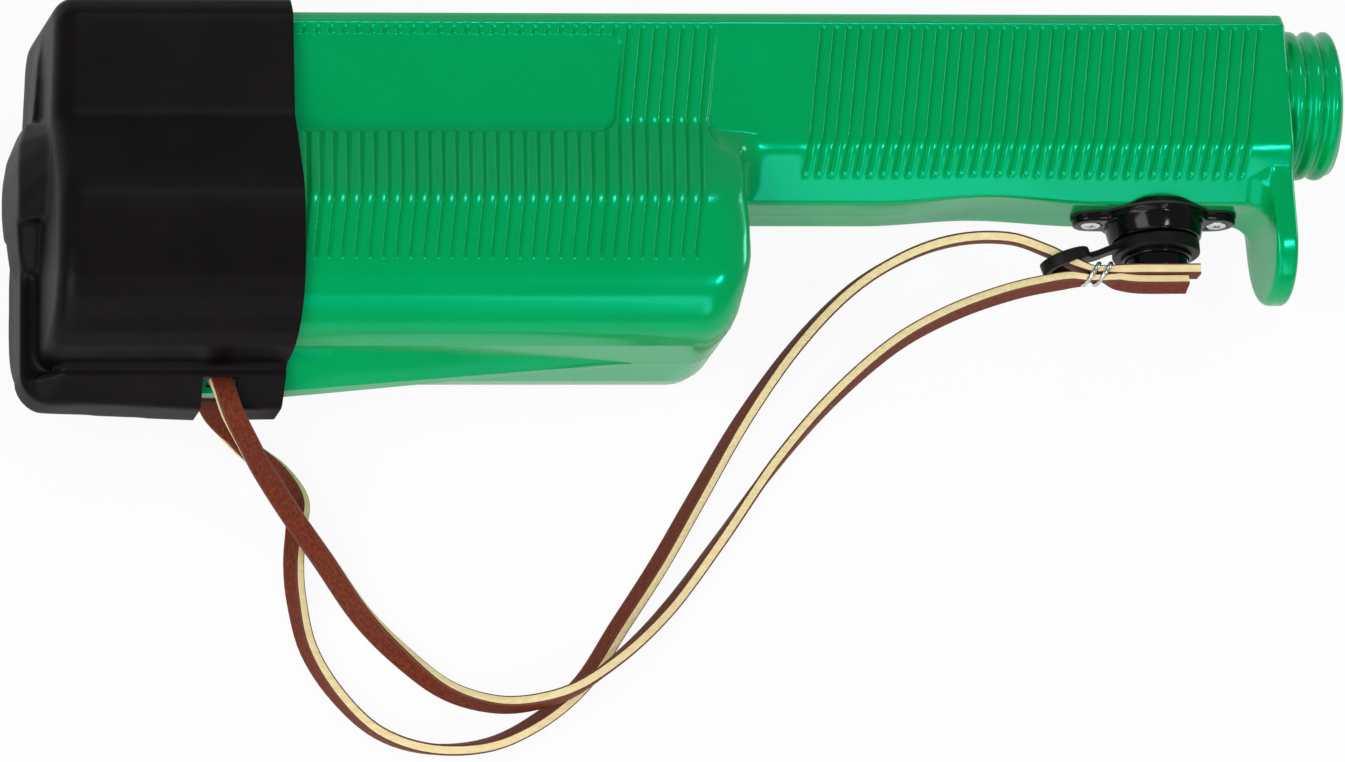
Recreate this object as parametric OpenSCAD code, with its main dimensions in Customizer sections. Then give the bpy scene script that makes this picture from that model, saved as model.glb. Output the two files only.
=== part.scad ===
// Electric livestock prod handle: a moulded pistol-like grip with a battery box behind it, a rubber
// boot over the box's open end, a push switch under the grip and a leather wrist lace.
// X runs along the handle, towards the threaded spigot that takes the prod's shaft. Y runs from the
// battery box's underside to the handle's top. Z is up as the handle lies on its side.
// The origin is on the spigot's axis, in the handle's front face.

/* [Grip] */
// Width of the grip across its ribbed sides
grip_w = 34; // [31:0.5:38]
// Height of the grip's top above the spigot's axis
grip_top = 17.2; // [16:0.1:20]
// Depth of the crease where the sides turn in, below the spigot's axis
grip_crease = 16; // [13:0.5:18]
// Depth of the flat underside below the spigot's axis
grip_bottom = 26.9; // [25:0.1:30]
// Width of the flat underside
grip_flat_w = 17; // [13:0.5:22]
// Length from the battery box's front to the front face
grip_len = 133.5; // [120:0.5:150]
// Radius of the edges along the top
top_r = 3; // [2.2:0.1:5]
// Wall of the whole moulding
wall = 1.8; // [1.5:0.1:2.1]

/* [Battery box] */
// Diameter of a battery cell
cell_d = 26.2; // [25:0.1:27]
// Length of a battery cell
cell_len = 49.2; // [48:0.1:49.6]
// Depth of the cells' axes below the spigot's axis
cell_depth = 47.5; // [46:0.5:52]
// Room around each cell
cell_room = 0.3; // [0.2:0.05:0.5]
// Width across the upper crease of the box's sides
crease_w = 36; // [35:0.2:44]
// Depth of the upper crease below the spigot's axis
crease_depth = 10.5; // [6:0.5:14]
// Depth of the lower crease, where the sides turn upright
shoulder_depth = 31.5; // [28:0.5:33]
// Radius of the front corners, seen from above
front_r = 9.5; // [6:0.5:9.5]
// Radius of the front lower corner, seen from the side
toe_r = 9; // [6:0.5:10]
// Length of the ramp from the box's shoulders down to the grip
ramp_len = 14; // [8:0.5:20]

/* [Ribs and panel] */
// Spacing of the ribs along the grip
grip_rib_pitch = 3.06; // [2.6:0.02:3.1]
// Spacing of the ribs along the battery box
box_rib_pitch = 3.19; // [2.6:0.01:4]
// Width of the groove between two ribs
rib_gap = 0.9; // [0.6:0.1:1.4]
// Depth of the grooves
rib_depth = 0.5; // [0.3:0.1:0.7]
// Lean of the ribs
rib_lean = 9.8; // [0:0.2:14]
// Number of grooves along the grip
grip_ribs = 35; // [20:1:35]
// Number of grooves along the battery box
box_ribs = 33; // [20:1:40]
// Distance from the front face to the grip's first groove
grip_rib_start = 9; // [7:0.5:14]
// Distance from the box's front to its first groove
box_rib_start = 6; // [5:0.5:12]
// Height of the bare panel on the box's side
panel_h = 24; // [18:0.5:28]
// Depth of the bare panel
panel_depth = 0.6; // [0.4:0.1:0.8]
// Distance from the box's front to the panel
panel_start = 27; // [20:0.5:40]
// Height of the panel's top above the spigot's axis
panel_top = 10.6; // [8:0.1:12]

/* [Spigot and guard] */
// Radius of the spigot over its thread
spigot_r = 16.8; // [15.5:0.1:16.8]
// Length of the spigot
spigot_len = 12.5; // [10:0.5:18]
// Radius of the spigot's bore
spigot_bore_r = 12.6; // [10.5:0.1:13]
// Width of the finger guard
guard_w = 28; // [20:0.5:32]
// Thickness of the finger guard
guard_t = 5.5; // [4:0.1:8]
// Depth of the guard's tip below the spigot's axis
guard_depth = 48; // [44:0.5:56]
// Radius of the hollow between the guard and the grip
guard_fillet = 5.5; // [3:0.5:5.5]

/* [Strap keel] */
// Depth of the keel below the box's underside at its rear end
keel_h = 9.2; // [8:0.1:11]
// Width of the keel's root at its rear end
keel_root_w = 26; // [20:0.5:28]
// Width of the keel's edge at its rear end
keel_edge_w = 6.6; // [5:0.1:8]
// Distance from the box's front to the keel's tip
keel_tip = 18.5; // [12:0.5:30]
// Distance from the box's front to the keel's rear end
keel_end = 128.5; // [126:0.5:132]
// Distance from the box's front to the eye that the strap goes through
eye_back = 121.5; // [120:0.1:123]
// Length of the eye along the keel
eye_l = 6.4; // [5.8:0.1:7]
// Height of the eye
eye_h = 3.6; // [3.2:0.1:4]

/* [Rubber boot] */
// Thickness of the boot
boot_wall = 3; // [2:0.1:3.4]
// Clearance between the boot and the moulding
boot_gap = 0.3; // [0.2:0.05:0.6]
// Distance from the box's front to the boot's rim, at the height of the spigot's axis
boot_rim = 103; // [95:0.5:110]
// Lean of the boot's rim
rim_lean = 3.6; // [0:0.2:5]
// Radius of the boot's rear edges
boot_r = 6; // [3.5:0.5:8]
// Length of the slot in the boot's keel
slot_l = 11; // [9:0.5:13]
// Width of the ridge down the boot's rear
ridge_w = 12; // [8:0.5:16]
// Width of the pull boss on the boot's rear
pull_w = 26; // [18:0.5:34]
// How far the pull boss stands off the boot's rear face
pull_t = 7.5; // [5:0.5:10]

/* [Switch] */
// Distance of the switch's axis behind the front face
switch_back = 30.7; // [29:0.1:34]
// Distance between the switch's screws
screw_pitch = 30; // [28:0.5:32]
// Radius of the switch's boss at its flange
boss_r = 11.5; // [11:0.1:12]
// Width of the flange's ears
ear_w = 8.8; // [7:0.1:10]
// Thickness of the flange
flange_t = 1.8; // [1.4:0.1:2.4]
// Radius of the button
button_r = 7.25; // [6.5:0.05:7.5]
// How far the button stands out of its neck
button_out = 3.4; // [2.6:0.1:5]
// Travel of the button
button_travel = 2; // [1.5:0.1:2.2]

/* [Leather lace] */
// Width of the lace
lace_w = 5; // [4:0.1:5.4]
// Thickness of the lace
lace_t = 2.6; // [2:0.1:2.8]
// Diameter of the binding wire
tie_d = 1.1; // [0.8:0.1:1.3]

/* [Hidden] */
$fn = 64;

// One overrun for all cuts, one clearance between fitted pieces, and the steps of a drawn arc
over = 1;
fit = 0.3;
snug = 0.15;
arc_steps = 8;

// The battery box's section follows the two rows of cells
cell_r = cell_d / 2;
cell_off = cell_r + snug;
corner_r = cell_r + cell_room + wall;
box_half = cell_off + corner_r;
box_bottom = cell_depth + corner_r;
box_front = -grip_len;
grip_half = grip_w / 2;
inner_share = 0.35;

// Battery contacts, cells and the rear plate, one behind the other from the box's front wall
front_plate_t = 1.5;
front_plate_w = 39;
front_plate_h = 17;
front_plate_low = 7;
contact_w = 10;
strip_t = 0.4;
strip_h = 9;
strip_room = 3;
dimple_r = 4;
dimple_top_r = 3;
dimple_h = 0.6;
leaf_h = 2.4;
nub_r = 3.2;
nub_h = 1.4;
cell_edge_r = 1.5;
cell_rows = 3;
plate_t = 2.2;
plate_rim = 2;
cell_step = cell_len + snug;
front_plate_x = box_front - wall - snug - front_plate_t;
cells_front = front_plate_x - strip_t - leaf_h - snug;
cells_rear = cells_front - cell_rows * cell_step + snug;
plate_front = cells_rear - snug - dimple_h - strip_t;
plate_x = plate_front - plate_t;
box_rear = plate_front + strip_room;
rear_x = plate_x - snug - boot_wall;

// Bay divider, circuit board and what stands on it
divider_t = 1.8;
divider_y = -cell_depth + cell_r + fit;
divider_end_room = 3;
divider_l = box_front - front_r - box_rear - divider_end_room;
divider_depth = -divider_y - divider_t;
divider_slope_share = min(1, (divider_depth - crease_depth) / (shoulder_depth - crease_depth));
divider_half = crease_w / 2 + divider_slope_share * (box_half - crease_w / 2) - wall - fit;
post_r = 2.5;
post_h = 6;
board_w = 36;
board_t = 1.6;
board_inset = 16.5;
board_front = box_front - board_inset;
board_y = divider_y + divider_t + post_h;
board_top = board_y + board_t;
post_inset = 5;
core_l = 28;
core_h = 20;
core_w = 17;
core_leg = 7;
core_gap = 16;
winding_room = 0.4;
capacitor_r = 8;
capacitor_l = 28;
part_gap = 1;
capacitor_groove = 1;
transistor_w = 10;
transistor_t = 4.5;
transistor_h = 15;
transistor_tab_t = 1.3;
transistor_inset = 5.2;
transistor_hole_r = 1.8;
lead_r = 0.6;
transistor_x = board_front - transistor_inset - transistor_t;
core_x = transistor_x - core_gap - core_l;
capacitor_x = core_x - part_gap - capacitor_l;
board_l = board_front - capacitor_x + post_inset;

// Spigot's contact plate
insulator_t = 7.8;
insulator_recess = 1.5;
seat_r = spigot_bore_r - 2.6;
contact_off = 6;
contact_r = 3;
contact_h = 1;
contact_pin_r = 1.2;
end_wall = 3;

// Switch, from the grip's underside down
gasket_t = 0.6;
flange_y = -grip_bottom - gasket_t - flange_t;
boss_h = 4;
boss_end_r = boss_r - 1;
boss_y = flange_y - boss_h;
neck_r = button_r + fit + 0.55;
neck_h = 4.6;
neck_y = boss_y - neck_h;
button_y = neck_y - button_out;
shoulder_r = button_r + 1.25;
shoulder_t = 1.2;
bore_r = shoulder_r + fit;
ledge_y = boss_y + fit;
shoulder_y = ledge_y + snug;
spring_l = button_travel + 1.4;
spring_top_y = shoulder_y + shoulder_t + spring_l;
spring_r = 5.4;
spring_wire_r = 0.3;
spring_turns = 2;
stem_r = 2.5;
stem_h = spring_l + 1.2;
block_r = bore_r - snug;
block_h = 9;
block_socket_r = stem_r + fit;
block_socket_h = button_travel + 2.4;
hole_r = bore_r + 0.8;
screw_r = 1.45;
screw_hole_r = screw_r + snug;
screw_head_r = 2.45;
screw_head_h = 1.3;
screw_len = 9;
screw_boss_r = 3.8;
seat_h = 4.2;
screw_boss_h = 7;
scallop_l = 38;
scallop_depth = 2;
scallop_back = 68;

// Rubber keeper: one ring round the switch's neck, a tether and one ring round the lace
keeper_r = neck_r + fit + 2;
keeper_h = neck_h - 2 * fit;
ring_at = [-54, -40, 6];
ring_r = 6;
ring_hole_r = 4.1;
ring_h = 2.8;
ring_tilt = 17;
tether_t = 1.4;
tether_w = 4.4;

// Keel, eye and the boot's slot
keel_rear_x = box_front - keel_end;
keel_tip_x = box_front - keel_tip;
eye_x = box_front - eye_back;
eye_y = -box_bottom - keel_h / 2 - snug;
slot_x = eye_x - slot_l / 2;
floor_z = -box_half - boot_gap - boot_wall;
rim_x = box_front - boot_rim;
rim_front = rim_x + tan(rim_lean) * (grip_top + boot_gap + boot_wall);
toe_lip = 0.6;

// Routes of the lace's two strands along the surface that the handle lies on, in mm
near_route = [
    [-255, -67.5, 10], [-255, -72, 14], [-254, -78, 12], [-250, -82, 4], [-244, -86, -7], [-236, -93, -17],
    [-227, -102, -25], [-218, -114, -29], [-209, -124, -29], [-199, -132, -29], [-188, -136, -27],
    [-178, -136, -24], [-169, -133, -22], [-157, -124, -24], [-145, -112, -28], [-132, -96, -29],
    [-118, -78, -29], [-104, -63, -27], [-90, -52, -20], [-78, -47, -11], [-66, -45, -1], [-56, -45, 7],
    [-49, -46, 11], [-38, -47, 11], [-26, -47, 11]
];
far_route = [
    [-255, -67.5, -10], [-254, -70, -16], [-250, -72, -22], [-243, -75, -27], [-235, -79, -29],
    [-230, -86, -29], [-231, -93, -29], [-233, -101, -29], [-233, -110, -29], [-231, -122, -29],
    [-225, -133, -29], [-216, -142, -29], [-204, -146, -29], [-190, -145, -29], [-177, -139, -29],
    [-165, -130, -29], [-155, -117, -29], [-145, -102, -29], [-135, -86, -29], [-124, -67, -28],
    [-112, -51, -23], [-100, -40, -15], [-88, -34, -8], [-77, -32, -2], [-66, -33, 2], [-58, -37, 5],
    [-54, -40, 7], [-49, -43, 11], [-38, -43, 11], [-24, -43, 11]
];
// The way the lace's broad faces stretch, at shares of each strand's length
near_width_shares = [
    [0, [1, 0, 0]], [0.2, [0.8, 0.6, 0.2]], [0.4, [0, 0.3, 0.95]], [0.7, [0.15, -0.1, 0.98]], [1, [0, 0, 1]]
];
far_width_shares = [
    [0, [1, 0, 0]], [0.2, [0.9, 0, 0.4]], [0.42, [0.1, -0.7, 0.7]], [0.6, [0.6, -0.35, 0.7]],
    [0.8, [0.2, -0.3, 0.93]], [1, [0, 0, 1]]
];
tie_at = [-48, -44.7, 11];
tie_turns = 2;
tie_pitch = 2.2;

function arc_points(c, r, a0, a1) =
    [for (i = [0 : arc_steps]) c + r * [cos(a0 + (a1 - a0) * i / arc_steps), sin(a0 + (a1 - a0) * i / arc_steps)]];
function both_sides(half) =
    concat(half, [for (i = [len(half) - 1 : -1 : 0]) [half[i][0], -half[i][1]]]);

// Half sections, drawn in Y and Z and grown outwards by a distance
function top_edge(grow) =
    arc_points([grip_top - top_r, grip_half - top_r], top_r + grow, 0, 90);
function box_section(grow) = both_sides(concat(
    top_edge(grow),
    [[-crease_depth, crease_w / 2 + grow], [-shoulder_depth, box_half + grow]],
    arc_points([-cell_depth, cell_off], corner_r + grow, 90, 180)
));
function grip_section(grow) = both_sides(concat(
    top_edge(grow),
    [[-grip_crease, grip_half + grow], [-grip_bottom - grow, grip_flat_w / 2 + inner_share * grow]]
));
function keel_section(grow) = [
    [-box_bottom + wall / 2, keel_root_w / 2 + grow], [-box_bottom - keel_h - grow, keel_edge_w / 2 + grow],
    [-box_bottom - keel_h - grow, -keel_edge_w / 2 - grow], [-box_bottom + wall / 2, -keel_root_w / 2 - grow]
];

// Lays a section drawn in Y and Z along X
module along_x(points, x0, x1) {
    translate([x0, 0, 0]) rotate([90, 0, 90]) linear_extrude(x1 - x0) polygon(points);
}

// Stands a cylinder on a point, with its axis up the handle, along Y
module along_y(at, r0, r1, h) {
    translate(at) rotate([-90, 0, 0]) cylinder(h = h, r1 = r0, r2 = r1);
}

// Lays a cylinder from a point towards the spigot, along X
module rod_x(at, r, h) {
    translate(at) rotate([0, 90, 0]) cylinder(h = h, r = r);
}

// Outline of the box seen from the side, with its round toe, and seen from above, with round corners
module box_side(grow) {
    linear_extrude(4 * box_half, center = true)
        polygon(concat(
            [[rear_x, -box_bottom - grow], [rear_x, grip_top + grow], [box_front + grow, grip_top + grow]],
            arc_points([box_front - toe_r, -box_bottom + toe_r], toe_r + grow, 0, -90)
        ));
}
module box_plan(grow) {
    rotate([90, 0, 0])
        linear_extrude(4 * box_bottom, center = true)
            polygon(concat(
                [[rear_x, -box_half - grow]],
                arc_points([box_front - front_r, -box_half + front_r], front_r + grow, -90, 0),
                arc_points([box_front - front_r, box_half - front_r], front_r + grow, 0, 90),
                [[rear_x, box_half + grow]]
            ));
}

// The box with the grip run out of its front, grown outwards by a distance
module box_and_grip(grow, front_x) {
    intersection() {
        along_x(box_section(grow), box_rear, box_front + grow);
        box_side(grow);
        box_plan(grow);
    }
    along_x(grip_section(grow), box_front - ramp_len, front_x);
}

// Shoulders of the box, drawn down to the grip's section over the ramp
module shoulder_ramp() {
    hull() {
        along_x([for (p = box_section(0)) if (p[0] > -grip_bottom) p], box_front - ramp_len / 2, box_front - ramp_len / 2 + wall);
        along_x(grip_section(0), box_front + ramp_len / 2 - wall, box_front + ramp_len / 2);
    }
}

// Guard tongue for the fingers, flush with the front face, with a hollow run-out behind it
module guard() {
    tip_r = guard_w / 2;
    translate([-guard_t, 0, 0]) rotate([90, 0, 90]) linear_extrude(guard_t) {
        translate([-guard_depth + tip_r, 0]) circle(r = tip_r);
        translate([-guard_depth + tip_r, -tip_r]) square([guard_depth - tip_r - grip_crease, guard_w]);
    }
    linear_extrude(grip_flat_w, center = true)
        polygon(concat(
            [[-guard_t, -grip_bottom + wall]],
            arc_points([-guard_t - guard_fillet, -grip_bottom - guard_fillet], guard_fillet, 90, 0)
        ));
}

// Keel that rises out of the box's underside towards the strap's eye
module keel() {
    hull() {
        along_x(keel_section(0), keel_rear_x, keel_rear_x + wall);
        translate([keel_tip_x, -box_bottom + wall, 0]) rotate([0, 90, 0]) cylinder(h = wall, r = wall - snug, $fn = 16);
    }
}

// Slanted grooves between the ribs, cut into both sides to one depth
module groove_row(first_x, count, pitch, y_low, y_high) {
    run = tan(rib_lean);
    for (i = [0 : count - 1]) {
        x = first_x - i * pitch;
        linear_extrude(4 * box_half, center = true)
            polygon([
                [x + run * y_low, y_low], [x + rib_gap + run * y_low, y_low],
                [x + rib_gap + run * y_high, y_high], [x + run * y_high, y_high]
            ]);
    }
}
module rib_grooves() {
    rib_top = grip_top - top_r - rib_gap;
    intersection() {
        groove_row(-grip_rib_start, grip_ribs, grip_rib_pitch, -grip_crease - top_r, rib_top);
        difference() {
            along_x(grip_section(over), box_front + ramp_len / 2, -guard_t + wall);
            along_x(grip_section(-rib_depth), box_front, 0);
        }
    }
    intersection() {
        groove_row(box_front - box_rib_start, box_ribs, box_rib_pitch, -cell_depth + top_r, rib_top);
        difference() {
            along_x(box_section(over), box_rear, box_front - box_rib_start + front_r);
            along_x(box_section(-rib_depth), box_rear - over, box_front + over);
        }
    }
}

// Bare panel, sunk into the side that faces up
module panel_recess() {
    panel_r = top_r;
    panel_l = -box_rear;
    intersection() {
        translate([0, 0, grip_half - top_r])
            linear_extrude(2 * grip_half)
                translate([box_front - panel_start, panel_top])
                    polygon(concat(
                        [[-panel_l, 0]],
                        arc_points([-panel_r, -panel_r], panel_r, 90, 0),
                        arc_points([-panel_r, -panel_h + panel_r], panel_r, 0, -90),
                        [[-panel_l, -panel_h]]
                    ));
        difference() {
            along_x(box_section(over), box_rear, box_front);
            along_x(box_section(-panel_depth), box_rear - over, box_front + over);
        }
    }
}

// Shallow hollow for the fingers along the grip's underside
module finger_hollow(grow) {
    r = (scallop_l * scallop_l / 4 + scallop_depth * scallop_depth) / (2 * scallop_depth);
    band = scallop_depth + wall + over;
    intersection() {
        translate([-scallop_back, -grip_bottom - r + scallop_depth, 0])
            cylinder(h = 2 * grip_w, r = r + grow, center = true, $fn = 240);
        translate([-scallop_back - scallop_l, -grip_bottom - over, -grip_w])
            cube([2 * scallop_l, over + band, 2 * grip_w]);
    }
}

module housing() color("#00a55a") {
    difference() {
        union() {
            difference() {
                union() {
                    box_and_grip(0, 0);
                    shoulder_ramp();
                    keel();
                }
                finger_hollow(0);
                difference() {
                    union() {
                        box_and_grip(-wall, -end_wall);
                        along_x(box_section(-wall), box_rear - over, box_front - front_r);
                    }
                    finger_hollow(wall);
                }
            }
            guard();
            along_y([-switch_back, -grip_bottom, 0], boss_r, boss_r, seat_h);
            rod_x([-end_wall, 0, 0], spigot_r, spigot_len + end_wall);
            for (side = [-1, 1])
                along_y([-switch_back + side * screw_pitch / 2, -grip_bottom, 0], screw_boss_r, screw_boss_r, screw_boss_h);
        }
        rod_x([spigot_len - insulator_recess - insulator_t - snug, 0, 0], spigot_bore_r, insulator_t + insulator_recess + over);
        rod_x([-end_wall - over, 0, 0], seat_r, spigot_len);
        along_y([-switch_back, -grip_bottom - over, 0], hole_r, hole_r, seat_h + 2 * over);
        for (side = [-1, 1])
            along_y([-switch_back + side * screw_pitch / 2, -grip_bottom - over, 0], screw_hole_r, screw_hole_r, screw_len);
        translate([eye_x - eye_l / 2, eye_y - eye_h / 2, -box_half]) cube([eye_l, eye_h, 2 * box_half]);
        panel_recess();
        rib_grooves();
    }
}

// The boot's hollow: the box and its keel with clearance, run straight out of the rim
module boot_hollow() {
    along_x(box_section(boot_gap), rear_x + boot_wall, rim_front + over);
    along_x(keel_section(boot_gap), rear_x + boot_wall, rim_front + over);
}

// Rear ridge and pull boss, seen from the side
module boot_back() {
    keel_y = -box_bottom - keel_h - boot_gap - boot_wall / 2;
    linear_extrude(ridge_w, center = true)
        polygon(concat(
            [[rear_x + boot_wall, grip_top - boot_r], [rear_x, grip_top - boot_r], [rear_x - pull_t / 2, -crease_depth]],
            arc_points([rear_x - pull_t + boot_r, keel_y + boot_r], boot_r, 180, 270),
            [[rear_x + boot_wall, keel_y]]
        ));
    linear_extrude(pull_w, center = true)
        polygon([
            [rear_x + boot_wall, -crease_depth], [rear_x - pull_t / 2, -crease_depth],
            [rear_x - pull_t - toe_lip, -crease_depth - boot_r], [rear_x - pull_t - toe_lip, -shoulder_depth - boot_r],
            [rear_x - pull_t / 2, -cell_depth], [rear_x + boot_wall, -cell_depth]
        ]);
}

module rear_boot() color("#1c1a1b") {
    grow = boot_gap + boot_wall;
    difference() {
        union() {
            intersection() {
                along_x(box_section(grow), rear_x, rim_front);
                linear_extrude(4 * box_half, center = true)
                    polygon(concat(
                        arc_points([rear_x + boot_r, grip_top + grow - boot_r], boot_r, 180, 90),
                        [[rim_front, grip_top + grow], [rim_front, -box_bottom - grow]],
                        arc_points([rear_x + boot_r, -box_bottom - grow + boot_r], boot_r, 270, 180)
                    ));
                rotate([90, 0, 0])
                    linear_extrude(4 * box_bottom, center = true)
                        polygon(concat(
                            arc_points([rear_x + boot_r, box_half + grow - boot_r], boot_r, 180, 90),
                            [[rim_front, box_half + grow], [rim_front, -box_half - grow]],
                            arc_points([rear_x + boot_r, -box_half - grow + boot_r], boot_r, 270, 180)
                        ));
            }
            along_x(keel_section(boot_gap + boot_wall / 2), rear_x, rim_front);
            boot_back();
        }
        boot_hollow();
        translate([rim_x, 0, 0]) rotate([0, 0, -rim_lean]) translate([0, -2 * box_bottom, -box_half - 2 * grow])
            cube([boot_rim, 4 * box_bottom, 2 * box_half + 4 * grow]);
        translate([slot_x, -box_bottom - grow - 2 * keel_h, -box_half])
            cube([slot_l, 2 * keel_h, 2 * box_half]);
    }
}

// Stiff plate behind the cells, with a rim that meets the box's rear edge
module rear_plate() color("#2b2b2e") {
    outline = [for (p = box_section(0)) if (p[0] < -crease_depth - over) p];
    inner = [for (p = box_section(-plate_rim)) if (p[0] < -crease_depth - over) p];
    difference() {
        along_x(outline, plate_x, box_rear - snug);
        along_x(inner, plate_front, box_rear + over);
    }
}

// A brass strip with a raised dimple at each cell's axis
module dimpled_strip(x, toward, h) {
    for (z = [-cell_off, cell_off]) {
        translate([x - strip_t / 2, -cell_depth - strip_h / 2, z - contact_w / 2]) cube([strip_t, strip_h, contact_w]);
        translate([x, -cell_depth, z])
            rotate([0, toward * 90, 0]) cylinder(h = h + strip_t / 2, r1 = dimple_r, r2 = dimple_top_r);
    }
}

module bridge_strip() color("#c9a24a") {
    dimpled_strip(plate_front + strip_t / 2, 1, dimple_h);
    translate([plate_front, -cell_depth - strip_h / 2, -cell_off]) cube([strip_t, strip_h, 2 * cell_off]);
}

// One cell with its crimped edges and its nub, which points towards the spigot or away from it
module battery_cell(row, place) color(row > 0 ? "#b98a3c" : "#8f8f93") {
    body_l = cell_len - nub_h;
    translate([cells_front - place * cell_step - cell_len / 2, -cell_depth, row * cell_off])
        rotate([0, row * 90, 0]) translate([0, 0, -cell_len / 2])
            rotate_extrude()
                polygon(concat(
                    [[0, 0]],
                    arc_points([cell_r - cell_edge_r, cell_edge_r], cell_edge_r, -90, 0),
                    arc_points([cell_r - cell_edge_r, body_l - cell_edge_r], cell_edge_r, 0, 90),
                    [[nub_r, body_l], [nub_r, cell_len], [0, cell_len]]
                ));
}

// Floor between the cells and the circuit, with four posts under the board
module bay_divider() color("#3a3a3d") {
    x = box_front - front_r;
    translate([x - divider_l, divider_y, -divider_half]) cube([divider_l, divider_t, 2 * divider_half]);
    for (px = [board_front - post_inset, board_front - board_l + post_inset], side = [-1, 1])
        along_y([px, divider_y + divider_t, side * (board_w / 2 - post_inset)], post_r, post_r, post_h - snug);
}

module front_contact_plate() color("#3a3a3d") {
    translate([front_plate_x, -cell_depth - front_plate_low, -front_plate_w / 2])
        cube([front_plate_t, front_plate_h, front_plate_w]);
}

module front_contacts() color("#c9a24a") {
    dimpled_strip(front_plate_x - strip_t / 2, -1, leaf_h);
}

module circuit_board() color("#2f6b3a") {
    translate([board_front - board_l, board_y, -board_w / 2]) cube([board_l, board_t, board_w]);
}

// Closed iron core with two windows, and the coil that fills them
module transformer_core() color("#55565a") {
    window_l = (core_l - 3 * core_leg / 2) / 2 - core_leg / 4;
    difference() {
        translate([core_x, board_top + snug, -core_w / 2]) cube([core_l, core_h, core_w]);
        for (wx = [core_x + core_leg / 2, core_x + core_l - core_leg / 2 - window_l])
            translate([wx, board_top + snug + core_leg / 2, -core_w]) cube([window_l, core_h - core_leg, 2 * core_w]);
    }
}
module transformer_winding() color("#a65a2a") {
    window_l = (core_l - 3 * core_leg / 2) / 2 - core_leg / 4;
    leg_x = core_x + core_leg / 2 + window_l;
    leg_l = core_l - core_leg - 2 * window_l;
    coil_l = leg_l + 2 * window_l - 2 * winding_room;
    coil_h = core_h - core_leg - 2 * winding_room;
    coil_w = core_w + 2 * window_l - 2 * winding_room;
    y = board_top + snug + core_leg / 2 + winding_room;
    difference() {
        translate([core_x + core_leg / 2 + winding_room, y, -coil_w / 2]) cube([coil_l, coil_h, coil_w]);
        translate([leg_x - winding_room, y - over, -core_w / 2 - winding_room])
            cube([leg_l + 2 * winding_room, coil_h + 2 * over, core_w + 2 * winding_room]);
    }
}

// Capacitor lying on the board, with the rolled groove near its end
module storage_capacitor() color("#20306a") {
    translate([capacitor_x, board_top + capacitor_r + snug, 0])
        rotate([0, 90, 0])
            rotate_extrude()
                polygon([
                    [0, 0], [capacitor_r, 0], [capacitor_r, capacitor_l - 3 * capacitor_groove],
                    [capacitor_r - capacitor_groove, capacitor_l - 2 * capacitor_groove],
                    [capacitor_r, capacitor_l - capacitor_groove], [capacitor_r, capacitor_l], [0, capacitor_l]
                ]);
}

module power_transistor() color("#1a1a1a") {
    difference() {
        union() {
            translate([transistor_x, board_top + snug, -transistor_w / 2]) cube([transistor_t, transistor_h / 2, transistor_w]);
            translate([transistor_x, board_top + snug, -transistor_w / 2]) cube([transistor_tab_t, transistor_h, transistor_w]);
        }
        rod_x([transistor_x - over, board_top + snug + transistor_h - transistor_w / 3, 0], transistor_hole_r, transistor_t + 2 * over);
    }
}

// Sweep along a route: a ring of points at each place, joined to the next, with a cap at both ends
function unit(v) = v / norm(v);
function tangent(route, i) = unit(route[min(i + 1, len(route) - 1)] - route[max(i - 1, 0)]);
function square_to(v, t) = unit(v - (v * t) * t);
function width_at(shares, s) =
    let(k = [for (i = [0 : len(shares) - 2]) if (s >= shares[i][0] && s <= shares[i + 1][0]) i][0])
    let(f = (s - shares[k][0]) / (shares[k + 1][0] - shares[k][0]))
    (1 - f) * shares[k][1] + f * shares[k + 1][1];
function ring_points(at, t, across, outline) =
    let(w = square_to(across, t))
    let(n = cross(t, w))
    [for (p = outline) at + p[0] * w + p[1] * n];
module sweep(rings) {
    n = len(rings[0]);
    last = (len(rings) - 1) * n;
    polyhedron(
        points = [for (ring = rings) for (p = ring) p],
        faces = concat(
            [[for (i = [n - 1 : -1 : 0]) i]],
            [for (k = [0 : len(rings) - 2], i = [0 : n - 1]) [k * n + i, k * n + (i + 1) % n, (k + 1) * n + (i + 1) % n]],
            [for (k = [0 : len(rings) - 2], i = [0 : n - 1]) [k * n + i, (k + 1) * n + (i + 1) % n, (k + 1) * n + i]],
            [[for (i = [0 : n - 1]) last + i]]
        )
    );
}
function round_outline(r, sides) = [for (i = [0 : sides - 1]) r * [cos(i * 360 / sides), sin(i * 360 / sides)]];
module lead(route) {
    sweep([for (i = [0 : len(route) - 1]) ring_points(route[i], tangent(route, i), [0.1, 0.2, 1], round_outline(lead_r, 8))]);
}

// Flat lace with eased corners
lace_ease = lace_t / 4;
lace_outline = [
    [lace_w / 2, lace_ease], [lace_w / 2 - lace_ease, lace_t / 2], [-lace_w / 2 + lace_ease, lace_t / 2], [-lace_w / 2, lace_ease],
    [-lace_w / 2, -lace_ease], [-lace_w / 2 + lace_ease, -lace_t / 2], [lace_w / 2 - lace_ease, -lace_t / 2], [lace_w / 2, -lace_ease]
];
module lace(route, shares, start) {
    last = len(route) - 1;
    sweep([for (i = [0 : last])
        ring_points(route[i], i == 0 ? start : tangent(route, i), width_at(shares, i / last), lace_outline)]);
}

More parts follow.
